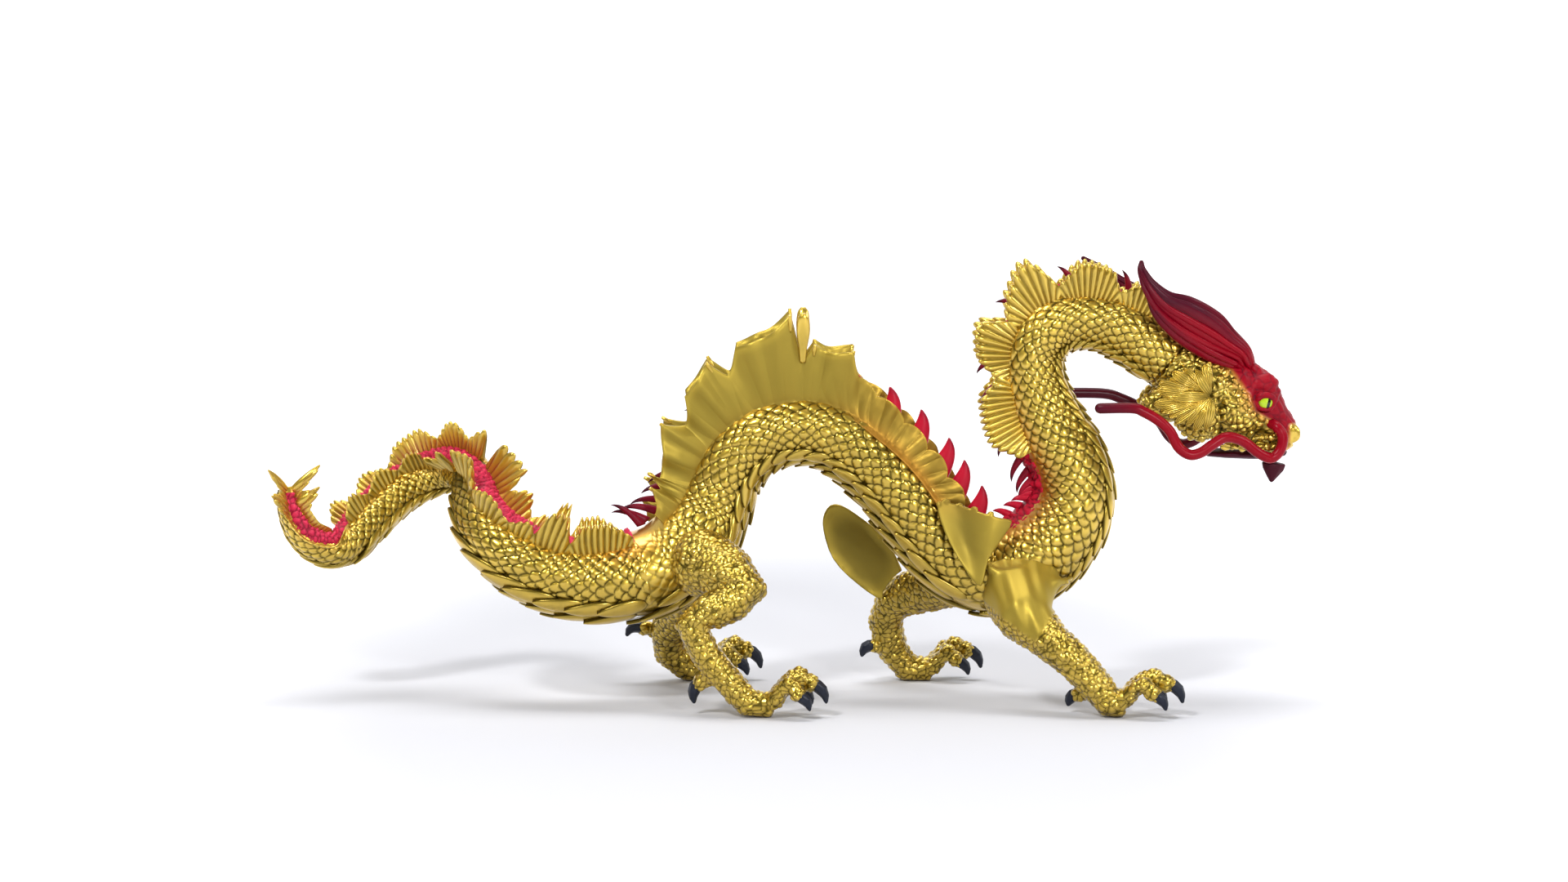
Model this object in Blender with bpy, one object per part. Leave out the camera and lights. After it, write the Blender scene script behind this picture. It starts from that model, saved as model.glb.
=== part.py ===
"""A walking dragon figurine, as the separate mouldings it is glued up from.

The long body is one curve from the tail tip to the back of the head, cut into five keyed mouldings. The
dorsal frills and the spiked ridge follow the same curve. The head, mane, whiskers, fins, legs and claws are
set on it.
The dragon walks towards +X, its right side faces -Y, and its soles stand on Z = 0.
"""

import itertools
import math

import bmesh
import bpy
from mathutils import Vector

MM = 0.001

# Driving dimensions, in millimetres unless the name says otherwise.
GAP = 0.3                # clearance between two glued pieces
BODY_SIDES = 16          # sides of a body section
BODY_SECTIONS = 1.7      # body sections for each step of the spine
KEEL = 0.12              # how far the dorsal edge stands up, as a share of the body radius
PEG_LENGTH = 3.0         # keyed peg on the head side of each seam
PEG_SHARE = 0.45         # peg size as a share of the body section
CAP_DOME = 0.4           # rise of the closing caps
LEG_CLEARANCE = 0.65     # radial clearance cut between a leg root and the body
STRIP_GAP = 0.45         # a frill or ridge stands this far off the body's corners
LEG_SIDES = 12
TOE_SIDES = 8
FIN_STEPS = 3            # points for each stretch of a fin's outline
CLAW_SIDES = 6
CLAW_RADIUS = 1.15
FRILL_ANGLE = 38.0       # degrees from the dorsal line to the root of a frill
FRILL_ROOT = 0.62        # half thickness of a frill at its root
FRILL_TIP = 0.34         # half thickness of a frill at its edge
RIDGE_ROOT = 0.75        # half thickness of the spiked ridge at its root
RIDGE_TIP = 0.32
EYE_RADIUS = 1.75
FIN_THICKNESS = 0.9
FIN_BULGE = 0.35         # how far a fin's middle stands out of its edge plane, on each face
FLOOR_DEPTH = 6.0        # depth of the block that trims the soles flat

# The spine from tail tip to head: x, y, z, body radius, roll in degrees towards the right side.
SPINE = (
    (-92.3, -2.0, 39.7, 1.3, 60),
    (-91.3, -3.0, 35.0, 2.0, 60),
    (-88.3, -2.5, 30.2, 2.6, 45),
    (-83.1, 0.5, 28.1, 3.0, 20),
    (-78.3, 5.0, 32.3, 3.5, 10),
    (-72.6, 10.0, 37.6, 3.6, 10),
    (-66.6, 12.0, 41.0, 3.7, 25),
    (-61.8, 10.2, 42.4, 3.8, 50),
    (-58.2, 5.0, 40.4, 4.0, 65),
    (-56.6, -1.0, 35.2, 4.7, 45),
    (-53.0, -5.0, 30.4, 5.5, 20),
    (-47.2, -7.0, 26.4, 6.1, 5),
    (-39.2, -7.0, 23.6, 6.6, 0),
    (-30.2, -6.0, 23.6, 7.5, 0),
    (-22.0, -4.0, 25.8, 7.9, 0),
    (-16.7, -2.0, 30.9, 7.6, 0),
    (-13.4, 0.0, 36.7, 6.8, 0),
    (-10.6, 0.0, 43.6, 6.4, 0),
    (-4.6, 0.0, 49.4, 6.4, 0),
    (3.8, 0.0, 51.1, 6.5, 0),
    (12.1, 0.0, 48.5, 6.8, 0),
    (19.7, 0.0, 42.1, 7.3, 0),
    (25.8, 0.0, 34.1, 7.3, 0),
    (32.0, 0.0, 26.5, 7.0, 0),
    (38.8, 0.0, 23.7, 7.6, 0),
    (46.4, 0.0, 26.8, 8.2, 0),
    (52.0, 0.0, 32.9, 7.6, 0),
    (53.8, 0.0, 39.0, 7.0, 0),
    (52.4, 0.0, 45.1, 6.8, 0),
    (48.9, 0.0, 51.3, 6.4, 0),
    (46.1, 0.0, 58.9, 5.6, 0),
    (46.0, 0.0, 65.7, 5.5, 0),
    (49.9, 0.0, 70.3, 5.5, 0),
    (56.7, 0.0, 71.3, 5.2, 0),
    (64.3, 0.0, 68.7, 5.5, 0),
    (71.2, 0.0, 63.4, 5.7, 0),
)
SPINE_END = len(SPINE) - 1

# Body mouldings: where each starts and ends along the spine.
MOULDINGS = {
    "tail_tip": (0.0, 3.4),
    "tail_middle": (3.4, 8.0),
    "tail_base": (8.0, 13.4),
    "trunk": (13.4, 24.0),
    "neck": (24.0, SPINE_END),
}

# Edge of each dorsal frill: place along the spine, height, and sweep towards the tail as a share of height.
FRILL_EDGES = {
    "tail_tip": (
        (0.1, 5.0, 0.6), (0.35, 1.8, 0.3), (0.7, 4.2, 0.4), (1.1, 1.3, 0), (1.8, 0.9, 0), (2.6, 0.8, 0),
        (3.25, 0.8, 0),
    ),
    "tail_middle": (
        (3.55, 1.6, 0), (3.9, 4.0, 0), (4.3, 2.0, 0), (4.75, 3.6, 0), (5.15, 2.0, 0), (5.6, 4.2, 0),
        (6.1, 4.6, 0), (6.6, 3.0, 0), (7.1, 5.0, 0), (7.5, 4.4, 0), (7.9, 6.0, 0),
    ),
    "tail_base": (
        (8.1, 6.0, 0), (8.6, 7.0, 0), (9.0, 4.2, 0), (9.5, 5.0, 0), (10.2, 2.6, 0), (10.7, 3.6, 0),
        (10.9, 2.4, 0), (11.1, 7.2, 0), (11.4, 7.6, 0), (11.75, 2.8, 0), (12.1, 5.5, 0), (12.6, 5.5, 0),
        (13.0, 3.6, 0), (13.3, 1.2, 0),
    ),
    "trunk": (
        (14.6, 2.2, 0), (15.2, 6.4, 0), (15.5, 4.4, 0), (15.9, 8.4, 0), (16.25, 5.8, 0), (17.0, 10.6, 0),
        (17.2, 6.0, 0), (17.5, 10.4, 0), (17.9, 13.0, 0), (18.02, 8.5, 0), (18.2, 13.0, 0), (18.5, 13.8, 0),
        (18.8, 16.0, 0), (18.93, 7.8, 0), (19.06, 15.6, 0), (19.2, 10.6, 0), (19.5, 12.0, 0), (19.7, 6.4, 0),
        (20.5, 3.6, 0), (21.2, 2.8, 0), (22.0, 2.3, 0), (22.6, 1.4, 0),
    ),
    "neck": (
        (28.7, 2.0, 0), (29.3, 6.6, 0), (29.85, 6.0, 0), (30.3, 4.4, 0), (30.75, 6.0, 0), (31.05, 7.0, 0),
        (31.3, 4.0, 0), (31.65, 5.6, 0), (32.0, 8.4, 0), (32.35, 3.8, 0), (32.85, 6.2, 0), (33.2, 5.6, 0),
        (33.45, 3.2, 0), (33.8, 4.4, 0), (34.15, 2.6, 0), (34.5, 1.4, 0),
    ),
}
# How far each moulding's frills lean outwards from the dorsal direction, in degrees.
FRILL_LEAN = {"tail_tip": 48.0, "tail_middle": 24.0, "tail_base": 24.0, "trunk": 12.0, "neck": 16.0}

# Spiked ridge: start, end, spacing of the spikes, spike height, height between spikes.
RIDGES = {
    "tail_tip": (0.35, 3.1, 0.42, 1.0, 0.5),
    "tail_middle": (3.55, 7.9, 0.55, 1.6, 0.8),
    "tail_base": (8.1, 13.3, 0.6, 2.2, 0.9),
    "trunk": (13.5, 23.2, 0.55, 5.0, 1.3),
    "neck": (24.9, 34.4, 0.5, 2.8, 1.0),
}

# Each leg. The limb runs from its root inside the body to the ball of the foot, and the rear toe has its own
# path: both are (x, y, z, radius). The rear claw is a curve of (x, y, z) steps from that toe's end. Trim is
# the stretch of spine that cuts the root to fit the body.
LEGS = {
    "fore_leg_right": {
        "limb": (
            (42.5, -3, 22, 6.0), (42.8, -9, 20.4, 6.2), (44.0, -14, 17.4, 5.2), (48.6, -18, 13.4, 3.7),
            (53.2, -19.6, 9.6, 3.4), (57.2, -20.6, 5.2, 3.1), (59.2, -21, 2.7, 3.0), (62.0, -21, 2.4, 2.8),
        ),
        "trim": (21.5, 28.5),
        "ball": (61.6, -21.0, 2.9), "heading": (1.0, -0.06), "reach": 8.4, "knuckle": 7.2, "toe_height": 6.0,
        "rear_toe": ((57.6, -20.0, 4.0, 1.7), (55.4, -18.4, 3.9, 1.4), (53.6, -17.3, 3.4, 1.25)),
        "rear_claw": ((-0.5, 0.1, -0.6), (-0.8, 0.15, -1.3), (-0.9, 0.15, -1.9)),
    },
    "fore_leg_left": {
        "limb": (
            (35.0, 3, 23, 5.4), (29.0, 10, 20, 4.9), (20.8, 16.5, 16.2, 3.9), (19.3, 19, 11.5, 3.3),
            (20.8, 20.5, 6.0, 3.0), (23.6, 21, 2.3, 2.8), (28.2, 21, 1.9, 2.4),
        ),
        "trim": (21.5, 28.5),
        "ball": (28.0, 21.0, 2.3), "heading": (1.0, 0.06), "reach": 7.2, "knuckle": 6.4, "toe_height": 5.6,
        "rear_toe": ((20.6, 19.8, 6.4, 1.7), (18.2, 18.6, 7.0, 1.4), (17.0, 18.2, 7.0, 1.25)),
        "rear_claw": ((-0.7, -0.1, -0.3), (-1.2, -0.15, -1.1), (-1.4, -0.2, -1.9)),
    },
    "hind_leg_right": {
        "limb": (
            (-17.5, -5, 27.5, 6.6), (-14.5, -11, 26.6, 6.4), (-9.6, -15.5, 25.0, 5.0), (-6.6, -18, 22.6, 3.8),
            (-9.4, -18.6, 20.6, 3.6), (-13.4, -19, 18.9, 3.5), (-17.0, -19.2, 16.4, 3.2),
            (-14.2, -20, 11.2, 2.8), (-10.2, -20.6, 6.4, 2.7), (-6.6, -21, 2.5, 2.7), (-2.0, -21, 2.0, 2.4),
        ),
        "trim": (12.0, 19.0),
        "ball": (-2.2, -21.0, 2.5), "heading": (1.0, -0.06), "reach": 7.4, "knuckle": 7.4, "toe_height": 6.0,
        "rear_toe": ((-12.0, -20.2, 7.6, 1.7), (-14.6, -19.2, 6.4, 1.4), (-15.6, -18.8, 5.6, 1.25)),
        "rear_claw": ((-0.3, 0.1, -1.0), (-0.4, 0.15, -2.1), (-0.2, 0.15, -3.0)),
    },
    "hind_leg_left": {
        "limb": (
            (-20.5, 1, 24.5, 6.4), (-17.0, 8, 19.5, 6.2), (-19.2, 13, 14.6, 4.8), (-22.0, 17, 10.0, 3.6),
            (-21.8, 19.6, 5.6, 3.2), (-18.2, 21, 2.2, 2.7), (-13.6, 21, 1.8, 2.3),
        ),
        "trim": (12.0, 19.0),
        "ball": (-14.0, 21.0, 2.2), "heading": (1.0, 0.06), "reach": 7.0, "knuckle": 6.6, "toe_height": 5.6,
        "rear_toe": ((-22.6, 18.0, 9.0, 1.6), (-25.6, 17.4, 10.4, 1.4), (-27.0, 17.2, 10.7, 1.25)),
        "rear_claw": ((-1.0, -0.1, -0.1), (-1.8, -0.15, -0.8), (-2.2, -0.2, -1.7)),
    },
}
TOE_SPREAD = 3.3         # sideways step from the middle toe to an outer one, at the claw
TOE_RADII = (1.9, 1.65, 1.55, 1.35)          # at the root, under the knuckle, at the knuckle, at the claw
OUTER_TOE = 0.7          # size of an outer toe and its claw, as a share of the middle one
CLAW_CURVE = ((0.9, -0.8), (1.5, -1.9), (1.7, -3.1))    # ahead and up from the toe's end
CLAW_TAPER = (0.92, 0.6, 0.22)               # claw radius at each step of the curve, as a share of its base

# Skull and muzzle from neck to nose: x, z, drop of the axis for each step ahead, half height, half width.
SKULL = (
    (75.6, 60.2, 0.64, 6.4, 5.9),
    (80.0, 57.2, 0.53, 7.5, 6.2),
    (84.6, 55.4, 0.48, 7.9, 5.9),
    (88.2, 53.8, 0.53, 6.6, 5.0),
    (91.2, 51.2, 0.64, 4.0, 3.9),
    (93.2, 49.4, 0.64, 3.2, 3.4),
    (94.4, 48.5, 0.64, 2.2, 2.6),
)
BROW = ((88.2, 3.3, 59.0), (3.2, 2.2, 2.4))          # centre and radii
NOSTRIL = ((94.0, 1.9, 50.2), (1.5, 1.2, 1.7))
EYE = (88.8, 4.9, 56.0)
PALATE = 47.4            # height of the flat cut under the muzzle

# Tubes as paths of x, y, z, half height and half width.
JAW = (
    (78.4, 0.0, 46.1, 0.7, 3.0), (82.0, 0.0, 46.0, 0.9, 3.8), (86.5, 0.0, 45.9, 1.0, 3.6),
    (90.5, 0.0, 45.9, 1.0, 3.0), (93.0, 0.0, 46.2, 0.7, 2.0),
)
CHIN_TUFT = (
    (91.0, 0.0, 44.1, 2.4, 1.9), (90.9, 0.0, 43.0, 2.1, 1.7), (90.7, 0.0, 41.6, 1.1, 0.9),
    (90.6, 0.0, 40.6, 0.35, 0.35),
)
MANE = {
    "right": (
        (84.4, -3.3, 65.2, 1.6, 1.5), (81.6, -3.8, 67.2, 2.3, 1.7), (78.2, -5.0, 69.6, 3.2, 1.8),
        (73.5, -7.3, 72.3, 3.2, 1.7), (69.6, -8.6, 74.6, 2.2, 1.4), (66.9, -9.0, 77.7, 1.3, 1.0),
        (65.5, -8.8, 80.4, 0.8, 0.7), (65.4, -8.4, 82.0, 0.4, 0.4),
    ),
    "left": (
        (84.0, 3.3, 65.4, 1.6, 1.5), (80.8, 3.6, 67.0, 2.0, 1.6), (77.2, 4.6, 69.0, 2.3, 1.7),
        (73.1, 6.4, 71.6, 2.2, 1.6), (68.7, 8.0, 73.6, 1.8, 1.3), (64.1, 8.6, 76.2, 1.3, 1.1),
        (59.6, 8.8, 79.3, 0.9, 0.8), (55.9, 8.6, 81.7, 0.4, 0.4),
    ),
}
WHISKER_RADIUS = 0.88
WHISKER_LOOSE = 10       # from this point of the path the whisker streams free
WHISKER = (
    (91.0, 5.1, 51.3), (92.0, 5.5, 49.5), (91.5, 5.7, 47.1), (89.8, 6.0, 45.7), (87.3, 6.6, 46.8),
    (84.4, 7.4, 49.0), (81.3, 8.5, 49.8), (78.7, 9.1, 48.5), (76.6, 9.4, 47.1), (74.5, 9.6, 46.7),
    (72.4, 9.7, 48.1), (70.8, 9.8, 51.0), (68.7, 9.9, 53.0), (66.0, 9.9, 54.6), (63.9, 9.8, 55.3),
    (58.0, 9.0, 55.2),
)

# Outlines of the fins in x and z.
CHEEK_FRILL = (
    (79.9, 55.0), (79.5, 58.8), (77.0, 61.4), (74.4, 63.6), (72.4, 61.6), (70.5, 61.4), (69.3, 59.4),
    (67.4, 58.2), (68.9, 55.8), (67.8, 53.6), (70.6, 52.4), (72.3, 50.4), (75.4, 50.6), (78.3, 49.8),
)
RIGHT_ELBOW_FIN = (
    (28.2, 37.6), (31.6, 37.4), (34.6, 36.5), (38.3, 35.4), (41.8, 34.2), (39.9, 30.8), (37.6, 27.4),
    (36.2, 22.4), (33.1, 25.8), (29.6, 32.2),
)
LEFT_ELBOW_FIN = (
    (23.0, 19.4), (19.6, 27.6), (13.6, 33.0), (9.6, 35.0), (7.6, 33.3), (7.4, 29.9), (9.3, 24.4),
    (13.9, 19.6), (19.0, 16.6),
)

GOLD = (0.62, 0.45, 0.09)
RED = (0.48, 0.015, 0.035)
PINK = (0.68, 0.09, 0.20)
MAROON = (0.16, 0.015, 0.05)
CLAW_BLACK = (0.012, 0.014, 0.022)
EYE_GREEN = (0.35, 0.55, 0.05)


def clear_scene():
    """Removes whatever objects the scene starts with."""
    for thing in list(bpy.data.objects):
        bpy.data.objects.remove(thing, do_unlink=True)


def finish(name, colour, roughness, metallic):
    """A plain material in one finish."""
    made = bpy.data.materials.get(name) or bpy.data.materials.new(name)
    made.use_nodes = True
    shader = made.node_tree.nodes["Principled BSDF"]
    shader.inputs["Base Color"].default_value = (*colour, 1.0)
    shader.inputs["Roughness"].default_value = roughness
    shader.inputs["Metallic"].default_value = metallic
    return made


def spine_values(place):
    """Centre, radius and roll at a place along the spine, by a curve through its points."""
    place = min(max(place, 0.0), SPINE_END - 1e-6)
    first = int(place)
    part = place - first
    before, start, end, after = (SPINE[min(max(first + step, 0), SPINE_END)] for step in (-1, 0, 1, 2))
    values = []
    for a, b, c, d in zip(before, start, end, after):
        values.append(0.5 * (
            2 * b
            + (c - a) * part
            + (2 * a - 5 * b + 4 * c - d) * part ** 2
            + (3 * b - a - 3 * c + d) * part ** 3
        ))
    return Vector(values[:3]), values[3], math.radians(values[4])


def spine_frame(place):
    """Centre, radius, tangent towards the head, dorsal direction and right-hand direction."""
    centre, radius, roll = spine_values(place)
    tangent = (spine_values(place + 0.01)[0] - spine_values(place - 0.01)[0]).normalized()
    dorsal = Vector((-tangent.z, 0.0, tangent.x))
    dorsal = (dorsal - tangent * dorsal.dot(tangent)).normalized()
    right = tangent.cross(dorsal)
    dorsal = dorsal * math.cos(roll) + right * math.sin(roll)
    return centre, radius, tangent, dorsal, tangent.cross(dorsal)


def body_ring(place, share=1.0, grow=0.0, along=0.0):
    """One section of the body: round, with its dorsal corner raised into a keel."""
    centre, radius, tangent, dorsal, right = spine_frame(place)
    ring = []
    for side in range(BODY_SIDES):
        angle = math.tau * side / BODY_SIDES
        reach = radius * share * (1.0 + (KEEL if side == 0 else 0.0)) + grow
        ring.append(centre + tangent * along + (dorsal * math.cos(angle) + right * math.sin(angle)) * reach)
    return ring


def spaced(start, end, per_step):
    """Evenly spaced places from start to end."""
    count = max(2, round((end - start) * per_step))
    return [start + (end - start) * index / count for index in range(count + 1)]


def keep_object(name, mesh, look):
    """Links a mesh under its node's name, with its material and smooth shading."""
    thing = bpy.data.objects.new(name, mesh)
    bpy.context.scene.collection.objects.link(thing)
    if look:
        mesh.materials.append(look)
    mesh.shade_smooth()
    mesh.set_sharp_from_angle(angle=math.radians(40))
    return thing


def solid(name, points, faces, look):
    """A closed solid from points in millimetres, with its faces turned outwards."""
    mesh = bpy.data.meshes.new(name)
    mesh.from_pydata([tuple(point * MM) for point in points], [], faces)
    work = bmesh.new()
    work.from_mesh(mesh)
    bmesh.ops.recalc_face_normals(work, faces=work.faces)
    bmesh.ops.triangulate(work, faces=work.faces)
    work.to_mesh(mesh)
    work.free()
    return keep_object(name, mesh, look)


def loft(name, rings, look, start_dome=CAP_DOME, end_dome=CAP_DOME):
    """A skin over rings of equal point count, closed by a low cone at each end.

    A dome is measured along the way the rings run: a positive start dome stands out of the start.
    """
    count = len(rings[0])
    points = [point for ring in rings for point in ring]
    faces = []
    for level in range(len(rings) - 1):
        for side in range(count):
            after = (side + 1) % count
            low, high = level * count, (level + 1) * count
            faces.append((low + side, low + after, high + after, high + side))
    for ring, beside, dome, base in (
        (rings[0], rings[1], start_dome, 0),
        (rings[-1], rings[-2], end_dome, len(points) - count),
    ):
        centre = sum(ring, Vector()) / count
        away = (centre - sum(beside, Vector()) / count)
        flat = (ring[1] - ring[0]).cross(ring[count // 2] - ring[0]).normalized()
        if flat.dot(away) < 0:
            flat = -flat
        points.append(centre + flat * dome)
        tip = len(points) - 1
        faces += [(base + side, base + (side + 1) % count, tip) for side in range(count)]
    return solid(name, points, faces, look)


def round_ring(centre, tangent, reference, across, through, sides):
    """An oval ring square to the tangent; through is its half size along the reference, across the other."""
    side_way = (reference - tangent * reference.dot(tangent)).normalized()
    up_way = tangent.cross(side_way)
    ring = []
    for index in range(sides):
        angle = math.tau * (index + 0.5) / sides
        ring.append(centre + side_way * (through * math.cos(angle)) + up_way * (across * math.sin(angle)))
    return ring


def tube(name, path, look, sides, start_dome=CAP_DOME, end_dome=CAP_DOME, reference=Vector((0, 1, 0))):
    """A round or oval limb along a path of (x, y, z, half height, half width) points."""
    centres = [Vector(point[:3]) for point in path]
    rings = []
    for index, point in enumerate(path):
        ahead = centres[min(index + 1, len(path) - 1)]
        behind = centres[max(index - 1, 0)]
        through = point[4] if len(point) > 4 else point[3]
        along = (ahead - behind).normalized()
        rings.append(round_ring(centres[index], along, reference, point[3], through, sides))
    return loft(name, rings, look, start_dome, end_dome)


def apply_boolean(target, operation, cutter):
    """Joins or cuts with another solid, keeps the result in the target and removes the other solid."""
    step = target.modifiers.new(operation.lower(), "BOOLEAN")
    step.operation = operation
    step.solver = "EXACT"
    step.object = cutter
    bpy.context.view_layer.update()
    shaped = target.evaluated_get(bpy.context.evaluated_depsgraph_get())
    mesh = bpy.data.meshes.new_from_object(shaped)
    target.modifiers.clear()
    target.data = mesh
    bpy.data.objects.remove(cutter, do_unlink=True)


def block(name, low, high):
    """A plain box between two corners."""
    corners = [Vector(corner) for corner in itertools.product(*zip(low, high))]
    faces = [(0, 1, 3, 2), (4, 6, 7, 5), (0, 4, 5, 1), (2, 3, 7, 6), (0, 2, 6, 4), (1, 5, 7, 3)]
    return solid(name, corners, faces, None)


def ball(name, centre, radii, look):
    """An ellipsoid."""
    work = bmesh.new()
    bmesh.ops.create_icosphere(work, subdivisions=2, radius=1.0)
    points = [Vector(centre) + v.co * Vector(radii) for v in work.verts]
    faces = [tuple(v.index for v in face.verts) for face in work.faces]
    work.free()
    return solid(name, points, faces, look)


def body_moulding(name, look):
    """One length of body, with a keyed peg towards the tail and a socket towards the head."""
    start, end = MOULDINGS[name]
    rings = []
    half_gap = GAP / 2
    if start > 0:
        rings.append(body_ring(start, PEG_SHARE, 0.0, half_gap - PEG_LENGTH))
        rings.append(body_ring(start, PEG_SHARE, 0.0, half_gap))
    places = spaced(start, end, BODY_SECTIONS)
    for place in places:
        along = 0.0
        if place == start and start > 0:
            along = half_gap
        if place == end:
            along = -half_gap
        rings.append(body_ring(place, 1.0, 0.0, along))
    rings.append(body_ring(end, PEG_SHARE, GAP, -half_gap))
    rings.append(body_ring(end, PEG_SHARE, GAP, half_gap - PEG_LENGTH - GAP))
    loft(name, rings, look, CAP_DOME, CAP_DOME)


def body_cutter(start, end):
    """A length of body grown by the glue clearance, for trimming the pieces that sit on it."""
    rings = [body_ring(place, 1.0, LEG_CLEARANCE) for place in spaced(start, end, BODY_SECTIONS)]
    return loft("body_cutter", rings, None)


def dorsal_strip(name, edge, angle, lean, root, tip, look):
    """A strip that stands on the body along the spine: a frill at one side, or the ridge on the keel."""
    rings = []
    for place, height, sweep in edge:
        centre, radius, tangent, dorsal, right = spine_frame(place)
        thin = min(1.0, radius / 4.0)
        out = dorsal * math.cos(angle) + right * math.sin(angle)
        across = right * math.cos(angle) - dorsal * math.sin(angle)
        rise = dorsal * math.cos(lean) + right * math.sin(lean)
        keel = KEEL if angle == 0 else 0.0
        foot = centre + out * (radius * (1.0 + keel) + STRIP_GAP)
        top = foot + rise * height - tangent * (sweep * height)
        rings.append([
            foot - across * (root * thin),
            foot + across * (root * thin),
            top + across * (tip * thin),
            top - across * (tip * thin),
        ])
    loft(name, rings, look)


def dorsal_frills(look):
    """The right and left frills of each moulding."""
    for part, edge in FRILL_EDGES.items():
        for side, sign in (("right", 1), ("left", -1)):
            dorsal_strip(
                f"frill_{side}_{part}", edge,
                sign * math.radians(FRILL_ANGLE), sign * math.radians(FRILL_LEAN[part]),
                FRILL_ROOT, FRILL_TIP, look,
            )


def dorsal_ridges(look):
    """The ridge between the frills, with a spike at every step."""
    for part, (start, end, step, high, low) in RIDGES.items():
        edge = []
        count = int((end - start) / step)
        for index in range(count):
            place = start + index * step
            edge.append((place, low, 0.0))
            edge.append((place + 0.45 * step, high, 0.35))
        edge.append((start + count * step, low, 0.0))
        dorsal_strip(f"ridge_{part}", edge, 0.0, 0.0, RIDGE_ROOT, RIDGE_TIP, look)


def toe_and_claw(name, path, curve, size, gold, black):
    """A toe to be joined to its foot, and the claw that stands on the toe's end."""
    toe = tube(f"{name}_toe", path, gold, TOE_SIDES)
    end = Vector(path[-1][:3])
    ahead = (end - Vector(path[-2][:3])).normalized()
    base = end + ahead * (GAP + 0.05)
    root = base + ahead * 0.5
    radius = CLAW_RADIUS * size
    steps = [(*base, radius), (*root, radius)]
    for offset, share in zip(curve, CLAW_TAPER):
        steps.append((*(root + Vector(offset)), radius * share))
    tube(name, steps, black, CLAW_SIDES, -CAP_DOME, 0.15)
    return toe


def front_toe(name, shape, side, gold, black):
    """One of the three front toes: side is -1, 0 or 1 across the foot."""
    ahead = Vector((*shape["heading"], 0.0)).normalized()
    beside = Vector((-ahead.y, ahead.x, 0.0))
    ball_of_foot = Vector(shape["ball"])
    size = OUTER_TOE if side else 1.0
    root = ball_of_foot + beside * (side * TOE_SPREAD * 0.4)
    bend = ball_of_foot + ahead * (shape["reach"] * 0.5 * size) + beside * (side * TOE_SPREAD * 0.85)
    bend.z = shape["knuckle"] * (0.88 if side else 1.0)
    end = ball_of_foot + ahead * (shape["reach"] * size) + beside * (side * TOE_SPREAD)
    end.z = shape["toe_height"] * (0.74 if side else 1.0)
    thick = 0.9 if side else 1.0
    centres = (root, root.lerp(bend, 0.6), bend, end)
    path = [(*centre, radius * thick) for centre, radius in zip(centres, TOE_RADII)]
    curve = [(ahead * forward + Vector((0.0, 0.0, rise))) * size for forward, rise in CLAW_CURVE]
    return toe_and_claw(name, path, curve, thick, gold, black)


def leg(name, shape, gold, black):
    """A leg with three front toes and one rear toe, trimmed to the body and cut flat at the sole."""
    made = tube(name, shape["limb"], gold, LEG_SIDES)
    for number, side in enumerate((-1, 0, 1), start=1):
        apply_boolean(made, "UNION", front_toe(f"claw_{name}_{number}", shape, side, gold, black))
    rear = toe_and_claw(f"claw_{name}_rear", shape["rear_toe"], shape["rear_claw"], 1.0, gold, black)
    apply_boolean(made, "UNION", rear)
    apply_boolean(made, "DIFFERENCE", body_cutter(*shape["trim"]))
    far = 200.0
    floor = block("floor_cutter", (-far, -far, -FLOOR_DEPTH), (far, far, 0.0))
    apply_boolean(made, "DIFFERENCE", floor)


def head_shell(gold):
    """The skull and muzzle with brows and nostrils, a peg for the neck and sockets for the eyes."""
    centre, radius, tangent, dorsal, right = spine_frame(SPINE_END)
    half_gap = GAP / 2
    peg = [body_ring(SPINE_END, PEG_SHARE, 0.0, along) for along in (half_gap - PEG_LENGTH, half_gap)]
    stations = [(centre + tangent * half_gap, tangent, radius, radius)]
    for x, z, drop, high, wide in SKULL:
        stations.append((Vector((x, 0.0, z)), Vector((1.0, 0.0, -drop)).normalized(), high, wide))
    rings = []
    for place, way, high, wide in stations:
        up = Vector((-way.z, 0.0, way.x))
        ring = []
        for side in range(BODY_SIDES):
            angle = math.tau * side / BODY_SIDES
            ring.append(place + up * (high * math.cos(angle)) + way.cross(up) * (wide * math.sin(angle)))
        rings.append(ring)
    made = loft("head", peg + rings, gold)
    socket = EYE_RADIUS + GAP
    for sign in (-1, 1):
        for name, (x, y, z), radii in (("brow", *BROW), ("nostril", *NOSTRIL)):
            apply_boolean(made, "UNION", ball(name, (x, sign * y, z), radii, None))
        x, y, z = EYE
        apply_boolean(made, "DIFFERENCE", ball("eye_socket", (x, sign * y, z), (socket,) * 3, None))
    apply_boolean(made, "DIFFERENCE", block("jaw_cutter", (78.0, -12.0, 30.0), (96.0, 12.0, PALATE)))


def eyes(green):
    """Two round eyes in their sockets."""
    x, y, z = EYE
    for side, sign in (("right", -1), ("left", 1)):
        ball(f"eye_{side}", (x, sign * y, z), (EYE_RADIUS,) * 3, green)


def lower_jaw(red):
    """A slender jaw under the muzzle, and the pointed tuft below its front."""
    tube("lower_jaw", JAW, red, BODY_SIDES, 0.5, 0.6)
    tube("chin_tuft", CHIN_TUFT, red, TOE_SIDES, 0.4, 0.2)


def mane(red):
    """Two curled locks that rise from the forehead and sweep back over the neck."""
    for side, path in MANE.items():
        tube(f"mane_{side}", path, red, TOE_SIDES, 0.4, 0.3)


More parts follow.
